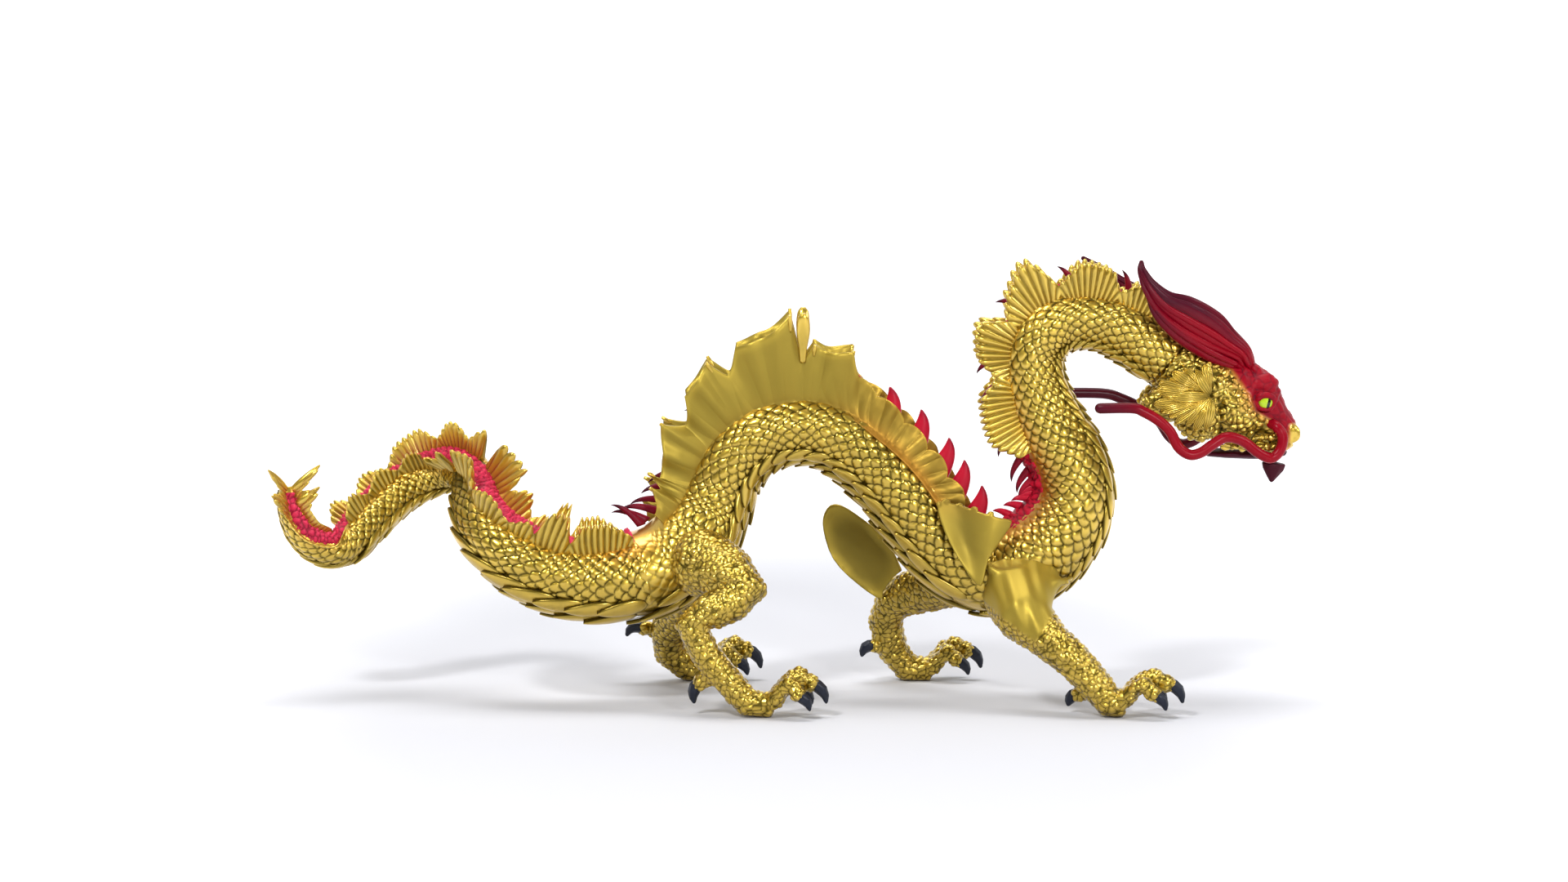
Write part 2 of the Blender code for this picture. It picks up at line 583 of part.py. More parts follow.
def whiskers(red):
    """Smooth round strands that leave the snout, follow the lip and stream back; the left one is longer."""
    loose = WHISKER_LOOSE
    for side, sign, stretch, lift in (("right", -1, 0.0, 0.0), ("left", 1, 5.4, 1.2)):
        points = []
        for index, (x, y, z) in enumerate(WHISKER):
            trail = max(0.0, (index - loose) / (len(WHISKER) - 1 - loose)) ** 1.5
            points.append((x - stretch * trail, sign * y, z + lift * trail, WHISKER_RADIUS))
        tube(f"whisker_{side}", points, red, TOE_SIDES, 0.3, 0.5)


def rounded_outline(corners, steps):
    """A closed outline that runs smoothly through its corners."""
    count = len(corners)
    outline = []
    for index in range(count):
        before, start, end, after = (Vector(corners[(index + step) % count]) for step in (-1, 0, 1, 2))
        for step in range(steps):
            part = step / steps
            outline.append(0.5 * (
                2 * start
                + (end - before) * part
                + (2 * before - 5 * start + 4 * end - after) * part ** 2
                + (3 * start - before - 3 * end + after) * part ** 3
            ))
    return outline


def fin(name, outline, near, far, look):
    """A leaf-shaped fin: an outline in x and z, with its front edge at near and its rear edge at far in y."""
    low = min(x for x, z in outline)
    high = max(x for x, z in outline)
    count = len(outline)

    def across(x):
        return far + (near - far) * (x - low) / (high - low)

    points = []
    for offset in (0.0, FIN_THICKNESS):
        for x, z in outline:
            y = across(x)
            points.append(Vector((x, y + math.copysign(offset, y), z)))
    centre_x = sum(x for x, z in outline) / count
    centre_z = sum(z for x, z in outline) / count
    middle = across(centre_x)
    points.append(Vector((centre_x, middle - math.copysign(FIN_BULGE, middle), centre_z)))
    points.append(Vector((centre_x, middle + math.copysign(FIN_THICKNESS + FIN_BULGE, middle), centre_z)))
    faces = []
    for index in range(count):
        after = (index + 1) % count
        faces.append((index, after, count + after, count + index))
        faces.append((after, index, 2 * count))
        faces.append((count + index, count + after, 2 * count + 1))
    return solid(name, points, faces, look)


def fins(gold):
    """The cheek frills behind the jaw, and the leaf fins at the elbows."""
    for side, sign in (("right", -1), ("left", 1)):
        fin(f"cheek_frill_{side}", [Vector(corner) for corner in CHEEK_FRILL], sign * 6.9, sign * 7.6, gold)
    fin("elbow_fin_right", rounded_outline(RIGHT_ELBOW_FIN, FIN_STEPS), -9.0, -8.6, gold)
    leaf = fin("elbow_fin_left", rounded_outline(LEFT_ELBOW_FIN, FIN_STEPS), 13.0, 12.0, gold)
    arm = [(x, y, z, radius + STRIP_GAP) for x, y, z, radius in LEGS["fore_leg_left"]["limb"]]
    apply_boolean(leaf, "DIFFERENCE", tube("arm_cutter", arm, None, LEG_SIDES))


def centre_on_origin():
    """Moves every piece so that the middle of the figurine's footprint is the origin."""
    pieces = [thing for thing in bpy.data.objects if thing.type == "MESH"]
    places = [vertex.co for thing in pieces for vertex in thing.data.vertices]
    low = [min(place[axis] for place in places) for axis in (0, 1)]
    high = [max(place[axis] for place in places) for axis in (0, 1)]
    middle = Vector(((low[0] + high[0]) / 2, (low[1] + high[1]) / 2, 0.0))
    for thing in pieces:
        for vertex in thing.data.vertices:
            vertex.co -= middle


def build():
    """Every piece of the figurine."""
    clear_scene()
    gold = finish("gold_paint", GOLD, 0.32, 0.85)
    red = finish("red_paint", RED, 0.42, 0.0)
    pink = finish("pink_paint", PINK, 0.45, 0.0)
    maroon = finish("maroon_paint", MAROON, 0.45, 0.0)
    black = finish("claw_paint", CLAW_BLACK, 0.3, 0.0)
    green = finish("eye_paint", EYE_GREEN, 0.2, 0.0)
    for name in MOULDINGS:
        body_moulding(name, gold)
    dorsal_frills(gold)
    dorsal_ridges(pink)
    head_shell(gold)
    eyes(green)
    lower_jaw(maroon)
    mane(red)
    whiskers(red)
    fins(gold)
    for name, shape in LEGS.items():
        leg(name, shape, gold, black)
    centre_on_origin()


build()
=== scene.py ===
"""The looks of the walking dragon figurine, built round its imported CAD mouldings.

Every shape is placed from the CAD pieces. The spine is read back from the sections of the body mouldings, and the
scaled skins, belly plates, frills and spikes follow it. Legs, head and fins are finely resampled from their own
CAD pieces and then sculpted. Lengths are in millimetres until a mesh is made, unless a name says otherwise.
"""

import math

import bpy
import numpy as np
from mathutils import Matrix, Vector, noise


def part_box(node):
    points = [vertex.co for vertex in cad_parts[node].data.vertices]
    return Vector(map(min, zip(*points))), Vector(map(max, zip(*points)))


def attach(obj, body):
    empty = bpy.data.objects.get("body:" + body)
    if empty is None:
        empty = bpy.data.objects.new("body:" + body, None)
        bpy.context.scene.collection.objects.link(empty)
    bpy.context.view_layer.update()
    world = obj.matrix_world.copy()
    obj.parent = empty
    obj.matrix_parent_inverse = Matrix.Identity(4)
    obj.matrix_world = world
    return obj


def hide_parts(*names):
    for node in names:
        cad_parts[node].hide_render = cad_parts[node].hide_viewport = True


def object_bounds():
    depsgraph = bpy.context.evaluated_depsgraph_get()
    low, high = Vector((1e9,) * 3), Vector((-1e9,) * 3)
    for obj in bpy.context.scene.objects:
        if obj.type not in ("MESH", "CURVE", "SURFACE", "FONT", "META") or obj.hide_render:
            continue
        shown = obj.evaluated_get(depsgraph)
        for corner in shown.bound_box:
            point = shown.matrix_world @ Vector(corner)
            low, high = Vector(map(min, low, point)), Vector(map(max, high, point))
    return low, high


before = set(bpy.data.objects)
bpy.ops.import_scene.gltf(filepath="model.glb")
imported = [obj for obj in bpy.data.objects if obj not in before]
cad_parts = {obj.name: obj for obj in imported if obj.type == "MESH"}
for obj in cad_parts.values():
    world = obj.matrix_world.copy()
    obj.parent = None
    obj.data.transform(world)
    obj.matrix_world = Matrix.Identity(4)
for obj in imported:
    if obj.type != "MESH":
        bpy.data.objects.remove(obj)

CAD_LOW, CAD_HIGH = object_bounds()

MM = 0.001
TURN = 2 * math.pi

BODY = ("tail_tip", "tail_middle", "tail_base", "trunk", "neck")
RING_SIDES = 16            # sides of a CAD body section
GRID = 0.21           # spacing of the skin's points
FIN_GRID = 0.14
VOXEL = 0.22          # resampling of the sculpted pieces

# Scales of each moulding: how many go round the body, and the length of a row.
SCALES = {
    "tail_tip": (10, 1.0),
    "tail_middle": (12, 1.05),
    "tail_base": (17, 1.25),
    "trunk": (20, 1.35),
    "neck": (18, 1.3),
}
SCALE_RISE = 0.55          # height of a scale's free end over the skin
BACK = math.radians(36)    # the smooth band under the frills ends here

# Belly plates: where the scales stop, and the length, width and rise of a plate as shares of the body radius.
PLATES = {
    "tail_tip": (132, 1.5, 0.70, 0.22),
    "tail_middle": (130, 1.5, 0.70, 0.22),
    "tail_base": (124, 1.20, 0.62, 0.22),
    "trunk": (128, 1.10, 0.46, 0.17),
    "neck": (144, 0.72, 0.40, 0.14),
}

GOLD = (0.68, 0.46, 0.045)
# The olive colour of the painted shade on the gold.
SHADE_OLIVE = (0.075, 0.055, 0.006)
SATIN_GOLD = (0.43, 0.31, 0.040)
ORANGE = (0.60, 0.20, 0.015)
RED = (0.28, 0.001, 0.010)
BRIGHT_RED = (0.56, 0.010, 0.035)
PINK = (0.66, 0.030, 0.085)
MAROON = (0.060, 0.003, 0.012)


# ---------------------------------------------------------------- numbers

def unit(vectors):
    """Vectors scaled to length one."""
    return vectors / np.maximum(np.linalg.norm(vectors, axis=-1, keepdims=True), 1e-9)


def ease(low, high, value):
    """0 at low, 1 at high, and a smooth step between them; low may be the larger."""
    share = np.clip((value - low) / (high - low), 0.0, 1.0)
    return share * share * (3.0 - 2.0 * share)


def smooth_between(knots, values, wanted):
    """Values at the wanted places, by a smooth curve through the knots."""
    slopes = np.gradient(values, knots, axis=0)
    first = np.clip(np.searchsorted(knots, wanted) - 1, 0, len(knots) - 2)
    step = (knots[first + 1] - knots[first])[..., None]
    part = ((wanted - knots[first]) / step[..., 0])[..., None]
    squared, cubed = part ** 2, part ** 3
    return (
        (2 * cubed - 3 * squared + 1) * values[first]
        + (cubed - 2 * squared + part) * step * slopes[first]
        + (3 * squared - 2 * cubed) * values[first + 1]
        + (cubed - squared) * step * slopes[first + 1]
    )


def scatter(first, second, seed=0.0):
    """An even-looking value from 0 to 1 for each pair of numbers, the same in every run."""
    mixed = np.sin(first * 127.1 + second * 311.7 + seed * 74.7) * 43758.5453
    return mixed - np.floor(mixed)


# ---------------------------------------------------------------- reading the CAD

def cad_points(node):
    """All points of a CAD node, in millimetres."""
    return np.array([vertex.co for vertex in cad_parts[node].data.vertices], float) / MM


def cad_shape(node):
    """A CAD node's points with doubles merged, and its triangles."""
    points = cad_points(node)
    keys, index = np.unique(np.round(points, 3), axis=0, return_inverse=True)
    index = index.ravel()
    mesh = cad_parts[node].data
    triangles = []
    for face in mesh.polygons:
        corners = [index[corner] for corner in face.vertices]
        for step in range(1, len(corners) - 1):
            triangles.append((corners[0], corners[step], corners[step + 1]))
    return keys, np.array(triangles)


def box(node):
    """Lowest and highest corner of a CAD node, in millimetres."""
    low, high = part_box(node)
    return np.array(low) / MM, np.array(high) / MM


def middle(node):
    """Middle of a CAD node's box, in millimetres."""
    low, high = box(node)
    return (low + high) / 2


def rings_from(points, triangles, sides, rank):
    """The rings of a closed tube, from the end fan that ranks highest, each ring an array of its points."""
    near = [set() for point in points]
    for triangle in triangles:
        for corner in triangle:
            near[corner].update(triangle)
    fans = [index for index, others in enumerate(near) if len(others) - 1 == sides]
    for first in sorted(fans, key=lambda index: -rank(points[index])):
        rings, seen, front = [], {first}, {first}
        while front:
            front = set().union(*(near[index] for index in front)) - seen
            seen |= front
            if len(front) == sides:
                rings.append(points[sorted(front)])
        if len(rings) * sides == len(points) - 2:
            return rings
    raise ValueError("this CAD piece isn't a tube of that many sides")


def section_rings(node, next_node):
    """The sections of a body moulding from tail to head, without its peg and socket."""
    points, triangles = cad_shape(node)
    ahead = cad_points(next_node)
    rings = rings_from(points, triangles, RING_SIDES, lambda point: np.linalg.norm(ahead - point, axis=1).min())
    peg_rings = 0 if node == BODY[0] else 2
    return rings[peg_rings:-2]


def read_spine():
    """The spine's stations (centre, radius, dorsal direction) and where each moulding starts and ends on it."""
    stations, ends, travelled = [], {}, 0.0
    for order, node in enumerate(BODY):
        next_node = (BODY + ("head",))[order + 1]
        start = travelled
        rings = section_rings(node, next_node)
        for ring in (rings if not stations else rings[1:]):
            centre = ring.mean(axis=0)
            reach = np.linalg.norm(ring - centre, axis=1)
            dorsal = unit(ring[reach.argmax()] - centre)
            if stations:
                travelled += np.linalg.norm(centre - stations[-1][1:4])
            stations.append(np.array([travelled, *centre, np.median(reach), *dorsal]))
        ends[node] = (start, travelled)
    return np.array(stations), ends


STATIONS, ENDS = read_spine()


def spine(place):
    """Centre, radius, and the directions to the head, to the back and to the right at places along the spine."""
    knots, table = STATIONS[:, 0], STATIONS[:, 1:]
    here = smooth_between(knots, table, place)
    ahead = smooth_between(knots, table, place + 0.05)[..., :3]
    behind = smooth_between(knots, table, place - 0.05)[..., :3]
    towards_head = unit(ahead - behind)
    dorsal = here[..., 4:7]
    dorsal = unit(dorsal - towards_head * np.sum(dorsal * towards_head, axis=-1, keepdims=True))
    right = np.cross(towards_head, dorsal)
    return here[..., :3], here[..., 3], towards_head, dorsal, right


def on_body(place, angle, lift):
    """Points at an angle from the dorsal line, lifted off the body's surface; a positive angle is the right side."""
    centre, radius, towards_head, dorsal, right = spine(place)
    out = dorsal * np.cos(angle)[..., None] + right * np.sin(angle)[..., None]
    return centre + out * (radius + lift)[..., None]


def body_distance(points):
    """How far points lie outside the body's surface, and the direction from the spine, by the nearest station."""
    place = np.arange(STATIONS[0, 0], STATIONS[-1, 0], 0.5)
    centre, radius, towards_head, dorsal, right = spine(place)
    outside = np.empty(len(points))
    outward = np.empty((len(points), 3))
    for first in range(0, len(points), 4000):
        some = points[first:first + 4000]
        gap = np.linalg.norm(some[:, None, :] - centre[None, :, :], axis=2)
        best = (gap - radius[None, :]).argmin(axis=1)
        outside[first:first + 4000] = gap[np.arange(len(some)), best] - radius[best]
        outward[first:first + 4000] = unit(some - centre[best])
    return outside, outward


# ---------------------------------------------------------------- making meshes

def closed_tube(rings):
    """Points, quads and end triangles of a closed skin over rings, an array of ring, side and axis."""
    levels, sides = rings.shape[:2]
    points = np.vstack([rings.reshape(-1, 3), rings[0].mean(axis=0), rings[-1].mean(axis=0)])
    index = np.arange(levels * sides).reshape(levels, sides)
    turned = np.roll(index, -1, axis=1)
    quads = np.stack([index[:-1], turned[:-1], turned[1:], index[1:]], axis=-1).reshape(-1, 4)
    first, last = levels * sides, levels * sides + 1
    start = np.stack([turned[0], index[0], np.full(sides, first)], axis=-1)
    end = np.stack([index[-1], turned[-1], np.full(sides, last)], axis=-1)
    return points, quads, np.vstack([start, end])


class Sculpt:
    """Points, faces and paint values gathered for one visible piece.

    The first value is painted shade that darkens hollows and grooves, tint is the orange airbrush, red is the share
    of red paint, tip darkens ends, and satin makes the gold duller.
    """

    PAINT = ("wash", "tint", "red", "tip", "satin")

    def __init__(self):
        self.points = []
        self.quads = []
        self.triangles = []
        self.paint = {name: [] for name in self.PAINT}
        self.total = 0

    def add(self, points, quads, triangles, **paint):
        """Adds a patch whose faces count from its own first point."""
        self.points.append(points)
        if len(quads):
            self.quads.append(np.asarray(quads) + self.total)
        if len(triangles):
            self.triangles.append(np.asarray(triangles) + self.total)
        for name in self.PAINT:
            self.paint[name].append(np.broadcast_to(paint.get(name, 0.0), len(points)).astype(float))
        self.total += len(points)

    def tube(self, rings, **paint):
        """Adds a closed skin over rings, an array of ring, side and axis, with a fan at each end."""
        levels, sides = rings.shape[:2]
        points, quads, triangles = closed_tube(rings)
        values = {}
        for name, value in paint.items():
            grid = np.broadcast_to(value, (levels, sides))
            values[name] = np.concatenate([grid.ravel(), [grid[0].mean(), grid[-1].mean()]])
        self.add(points, quads, triangles, **values)

    def build(self, name, look, slot, *nodes):
        """Makes the visible piece, which stands for the named CAD nodes."""
        points = np.vstack(self.points) * MM
        quads = np.vstack(self.quads) if self.quads else np.empty((0, 4), int)
        triangles = np.vstack(self.triangles) if self.triangles else np.empty((0, 3), int)
        mesh = bpy.data.meshes.new(name)
        mesh.vertices.add(len(points))
        mesh.vertices.foreach_set("co", points.astype(np.float32).ravel())
        corners = np.concatenate([quads.ravel(), triangles.ravel()]).astype(np.int32)
        mesh.loops.add(len(corners))
        mesh.loops.foreach_set("vertex_index", corners)
        starts = np.concatenate([
            np.arange(len(quads)) * 4,
            len(quads) * 4 + np.arange(len(triangles)) * 3,
        ]).astype(np.int32)
        mesh.polygons.add(len(starts))
        mesh.polygons.foreach_set("loop_start", starts)
        mesh.update(calc_edges=True)
        mesh.validate()
        for paint, values in self.paint.items():
            layer = mesh.attributes.new(paint, "FLOAT", "POINT")
            layer.data.foreach_set("value", np.concatenate(values).astype(np.float32))
        mesh.shade_smooth()
        mesh.materials.append(look)
        thing = bpy.data.objects.new(name, mesh)
        bpy.context.scene.collection.objects.link(thing)
        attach(thing, "root")
        if nodes:
            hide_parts(*nodes)
        return thing


def across_path(path):
    """Directions along a path, sideways from it (close to Y) and square to both."""
    forward = unit(np.gradient(path, axis=0))
    sideways = np.broadcast_to(np.array([0.0, 1.0, 0.0]), path.shape)
    sideways = unit(sideways - forward * np.sum(sideways * forward, axis=1, keepdims=True))
    return forward, sideways, np.cross(forward, sideways)


def strand(path, heights, widths, sides, steps=8):
    """Oval rings along a smooth path through the given points."""
    knots = np.arange(len(path), dtype=float)
    table = np.column_stack([path, heights, widths])
    fine = smooth_between(knots, table, np.linspace(0, len(path) - 1, (len(path) - 1) * steps + 1))
    centre = fine[:, :3]
    forward, sideways, up = across_path(centre)
    angle = np.arange(sides) / sides * TURN
    return (
        centre[:, None]
        + sideways[:, None] * (np.cos(angle)[None, :] * fine[:, 4:5])[..., None]
        + up[:, None] * (np.sin(angle)[None, :] * fine[:, 3:4])[..., None]
    )


def round_off(rings):
    """Rings of a strand with a half-round end added."""
    centre = rings[-1].mean(axis=0)
    onward = unit(centre - rings[-2].mean(axis=0))
    radius = np.linalg.norm(rings[-1] - centre, axis=1).mean()
    turns = np.radians((25, 45, 62, 76, 87))
    cap = [centre + onward * radius * math.sin(turn) + (rings[-1] - centre) * math.cos(turn) for turn in turns]
    return np.concatenate([rings, cap])


def centreline(node, sides, axis):
    """The path and half sizes of a CAD tube, from its end that lies farther along an axis."""
    points, triangles = cad_shape(node)
    rings = rings_from(points, triangles, sides, lambda point: point[axis])
    path = np.array([ring.mean(axis=0) for ring in rings])
    forward, sideways, up = across_path(path)
    corner = math.cos(math.pi / sides)
    heights = [np.abs((ring - centre) @ way).max() / corner for ring, centre, way in zip(rings, path, up)]
    widths = [np.abs((ring - centre) @ way).max() / corner for ring, centre, way in zip(rings, path, sideways)]
    return path, np.array(heights), np.array(widths)


# ---------------------------------------------------------------- paint

def nodes_of(name):
    """A new node-based material and a function that adds nodes to it."""
    made = bpy.data.materials.new(name)
    made.use_nodes = True
    tree = made.node_tree
    shader = tree.nodes["Principled BSDF"]

    def add(kind, **settings):
        node = tree.nodes.new(kind)
        for key, value in settings.items():
            setattr(node, key, value)
        return node

    return made, tree.links.new, shader, add


def attribute(add, name):
    """The output of a paint value."""
    return add("ShaderNodeAttribute", attribute_name=name).outputs["Fac"]


def blend_colour(add, link, amount, first, second):
    """A colour mixed from first to second by an amount; each may be a colour or an output."""
    mix = add("ShaderNodeMix", data_type="RGBA")
    for socket, value in ((mix.inputs[6], first), (mix.inputs[7], second)):
        if isinstance(value, tuple):
            socket.default_value = (*value, 1.0)
        else:
            link(value, socket)
    if isinstance(amount, float):
        mix.inputs[0].default_value = amount
    else:
        link(amount, mix.inputs[0])
    return mix.outputs[2]


def blend_value(add, link, amount, first, second):
    """A number mixed from first to second by an amount."""
    mix = add("ShaderNodeMix", data_type="FLOAT")
    mix.inputs[2].default_value = first
    mix.inputs[3].default_value = second
    link(amount, mix.inputs[0])
    return mix.outputs[0]


def speckle(add, link, size, detail=4.0):
    """A fine noise over the object, sized in millimetres."""
    place = add("ShaderNodeTexCoord").outputs["Object"]
    grain = add("ShaderNodeTexNoise")
    grain.inputs["Scale"].default_value = 1.0 / (size * MM)
    grain.inputs["Detail"].default_value = detail
    link(place, grain.inputs["Vector"])
    return grain.outputs["Fac"]


def roughen(add, link, shader, size, depth):
    """A shallow grain, sized in millimetres, on a material's surface."""
    bump = add("ShaderNodeBump")
    bump.inputs["Strength"].default_value = 0.5
    bump.inputs["Distance"].default_value = depth * MM
    link(speckle(add, link, size), bump.inputs["Height"])
    link(bump.outputs["Normal"], shader.inputs["Normal"])


def most_of(add, link, *names):
    """The largest of some paint values."""
    result = attribute(add, names[0])
    for name in names[1:]:
        larger = add("ShaderNodeMath", operation="MAXIMUM")
        link(result, larger.inputs[0])
        link(attribute(add, name), larger.inputs[1])
        result = larger.outputs[0]
    return result


def painted_gold():
    """Metallic gold with painted shade in the hollows, an orange airbrush, red paint, and a satin finish."""
    made, link, shader, add = nodes_of("gold_paint")
    patchy = add("ShaderNodeMapRange")
    patchy.inputs["From Min"].default_value = 0.35
    patchy.inputs["From Max"].default_value = 0.7
    link(speckle(add, link, 3.0), patchy.inputs["Value"])
    warm = blend_colour(add, link, patchy.outputs["Result"], GOLD, tuple(0.82 * part for part in GOLD))
    dull = blend_colour(add, link, attribute(add, "satin"), warm, SATIN_GOLD)
    airbrushed = blend_colour(add, link, attribute(add, "tint"), dull, ORANGE)
    # Painted shade: the gold turns olive where the shade value is high; the red turns maroon at tips and, as painted
    # shade, in hollows.
    washed = blend_colour(add, link, attribute(add, "wash"), airbrushed, SHADE_OLIVE)
    red = blend_colour(add, link, most_of(add, link, "tip", "wash"), RED, MAROON)
    link(blend_colour(add, link, attribute(add, "red"), washed, red), shader.inputs["Base Color"])
    metal = blend_value(add, link, attribute(add, "satin"), 0.92, 0.75)
    bare = add("ShaderNodeMath", operation="SUBTRACT")
    bare.inputs[0].default_value = 1.0
    link(attribute(add, "red"), bare.inputs[1])
    metallic = add("ShaderNodeMath", operation="MULTIPLY")
    link(metal, metallic.inputs[0])
    link(bare.outputs[0], metallic.inputs[1])
    link(metallic.outputs[0], shader.inputs["Metallic"])
    link(blend_value(add, link, most_of(add, link, "red", "satin"), 0.32, 0.46), shader.inputs["Roughness"])
    link(blend_value(add, link, most_of(add, link, "wash", "red", "satin"), 0.65, 0.0), shader.inputs["Coat Weight"])
    link(blend_value(add, link, attribute(add, "red"), 0.5, 0.14), shader.inputs["Specular IOR Level"])
    shader.inputs["Coat IOR"].default_value = 1.7
    shader.inputs["Coat Roughness"].default_value = 0.20
    roughen(add, link, shader, 0.35, 0.014)
    return made


def painted_red(name, colour, end, roughness):
    """Satin paint that turns to the end colour where tip is one, with painted shade darkening the hollows."""
    made, link, shader, add = nodes_of(name)
    base = blend_colour(add, link, speckle(add, link, 2.0), colour, tuple(0.8 * part for part in colour))
    tipped = blend_colour(add, link, attribute(add, "tip"), base, end)
    # Painted shade in the hollows.
    washed = blend_colour(add, link, attribute(add, "wash"), tipped, tuple(0.3 * part for part in end))
    link(washed, shader.inputs["Base Color"])
    shader.inputs["Roughness"].default_value = roughness
    shader.inputs["Specular IOR Level"].default_value = 0.14
    roughen(add, link, shader, 0.4, 0.012)
    return made


def painted_claw():
    """Glossy blue-black paint, two near-black tones mixed by a fine noise."""
    made, link, shader, add = nodes_of("claw_paint")
    link(
        blend_colour(add, link, speckle(add, link, 0.8), (0.004, 0.006, 0.014), (0.012, 0.016, 0.030)),
        shader.inputs["Base Color"],
    )
    shader.inputs["Roughness"].default_value = 0.34
    shader.inputs["Specular IOR Level"].default_value = 0.32
    roughen(add, link, shader, 0.4, 0.01)
    return made


def painted_eye():
    """Glossy yellow-green, darker at the rim, with a black slit where tip is one."""
    made, link, shader, add = nodes_of("eye_paint")
    iris = blend_colour(add, link, attribute(add, "wash"), (0.42, 0.60, 0.02), (0.05, 0.16, 0.01))
    slit = blend_colour(add, link, attribute(add, "tip"), iris, (0.004, 0.004, 0.004))
    link(slit, shader.inputs["Base Color"])
    shader.inputs["Roughness"].default_value = 0.12
    roughen(add, link, shader, 1.0, 0.004)
    return made


# ---------------------------------------------------------------- the scaled body

def fish_scales(row, column):
    """Overlapping scales with rounded free ends towards the tail.

    row and column count scales along and round the body. Gives height from 0 to 1, how deep in the groove between
    scales each point lies, a value that differs from scale to scale, and the row each scale belongs to.
    """
    upper = np.ceil(row)
    roundness = 1.6

    def nearest(rank):
        shift = 0.5 * (rank % 2)
        number = np.round(column - shift)
        across = 2.0 * (column - shift - number)
        return across, number

    past = upper - row
    across, number = nearest(upper)
    edge = (past ** roundness + np.abs(across) ** roundness) ** (1.0 / roundness)
    on_top = edge <= 1.0
    under_past = past - 1.0
    under_across, under_number = nearest(upper - 1)
    past = np.where(on_top, past, under_past)
    across = np.where(on_top, across, under_across)
    number = np.where(on_top, number, under_number)
    rank = np.where(on_top, upper, upper - 1)
    chance = scatter(rank, number)
    own_edge = (np.abs(past) ** roundness + np.abs(across) ** roundness) ** (1.0 / roundness)
    crown = 1.0 - np.clip(own_edge, 0.0, 1.0) ** 2
    height = 0.30 * (past + 1.0) + 0.45 * crown + 0.22 * (chance - 0.5)
    tilt = scatter(rank, number, 5.0) - 0.5
    height = height + 0.30 * tilt * across + 0.25 * (chance - 0.5) * past
    rim = np.where(on_top, 1.0 - edge, edge - 1.0)
    height = np.where(on_top, height - 0.25 * (1.0 - ease(0.0, 0.16, rim)), height)
    groove = 1.0 - ease(0.02, np.where(on_top, 0.20, 0.36), rim)
    return height, groove, chance, rank


def body_skin(node, look):
    """The scaled skin of one body moulding; its first row of scales laps over the moulding behind it."""
    start, end = ENDS[node]
    around, row_length = SCALES[node]
    girth = TURN * spine(np.array([start, (start + end) / 2, end]))[1].max()
    first = start if node == BODY[0] else start - row_length
    last = end if node == BODY[-1] else end + 0.8 * row_length
    places = np.linspace(first, last, max(8, int((last - first) / GRID)))
    sides = int(girth / GRID)
    angles = (np.arange(sides) / sides * 2.0 - 1.0) * math.pi
    place, angle = np.meshgrid(places, angles, indexing="ij")
    wobble = 0.10 * np.sin(place * 0.9 + 2.0 * angle) + 0.08 * np.sin(place * 1.7 - 3.0 * angle)
    column = (angle / TURN) * around
    height, groove, chance, rank = fish_scales(place / row_length + wobble, column + 0.5 * wobble)
    off_back = np.abs(angle)
    belly = math.radians(PLATES[node][0])
    scaled = ease(BACK - 0.1, BACK + 0.3, off_back) * ease(belly + 0.35, belly - 0.05, off_back)
    if node == "tail_tip":
        scaled = scaled * ease(start, start + 4.0, place)
    if node == "trunk":
        scaled = scaled * (0.55 + 0.45 * ease(start + 2.0, start + 14.0, place))
    lift = SCALE_RISE * (height * scaled + 0.35 * (1.0 - scaled)) - 0.1
    if node != BODY[0]:
        behind = (rank < math.ceil(start / row_length)) & (scaled > 0.3) | (place < start - 0.9 * row_length)
        lift = np.where(behind, -0.5, lift)
    lift = lift - 0.7 * ease(end, end + 0.5 * row_length, place)
    points = on_body(place, angle, lift)
    tint = airbrush(node, place, angle)
    # Painted shade in the grooves between scales, with the extra painted shade from shade().
    wash = np.clip(groove * scaled * (0.85 + 0.3 * chance), 0.0, 1.0)
    wash = np.clip(wash + shade(node, place, angle, chance), 0.0, 1.0)
    sculpt = Sculpt()
    sculpt.tube(points[:, ::-1], wash=wash[:, ::-1], tint=tint[:, ::-1])
    return sculpt.build(f"skin_{node}", look, "gold_paint", node)


def shade(node, place, angle, chance):
    """Extra painted shade: on the tail's turn, and under the front of the sail."""
    start, end = ENDS[node]
    share = (place - start) / (end - start)
    flank = ease(0.5, 0.9, np.abs(angle)) * ease(2.0, 1.2, np.abs(angle))
    if node == "tail_base":
        return (0.30 + 0.45 * (chance > 0.6)) * ease(0.30, 0.10, share)
    if node == "trunk":
        return 0.35 * flank * ease(0.50, 0.62, share) * ease(1.0, 0.85, share) * (0.5 + chance)
    return 0.0 * share


def airbrush(node, place, angle):
    """The orange airbrush that fades out from the back."""
    start, end = ENDS[node]
    share = (place - start) / (end - start)
    off_back = np.abs(angle)
    near_back = ease(1.45, 0.75, off_back)
    strength = {
        "tail_tip": 0.15 + 0 * share,
        "tail_middle": 0.25 + 0 * share,
        "tail_base": 0.12 + 0.5 * ease(0.75, 0.95, share),
        "trunk": 0.05 + 0.5 * ease(0.12, 0.0, share) + 0.25 * ease(0.55, 0.7, share) * ease(0.95, 0.8, share),
        "neck": 0.10 + 0.50 * ease(0.62, 0.4, share) * ease(0.0, 0.15, share) + 0.35 * ease(0.9, 0.98, share),
    }[node]
    return near_back * strength


# ---------------------------------------------------------------- plates under the belly

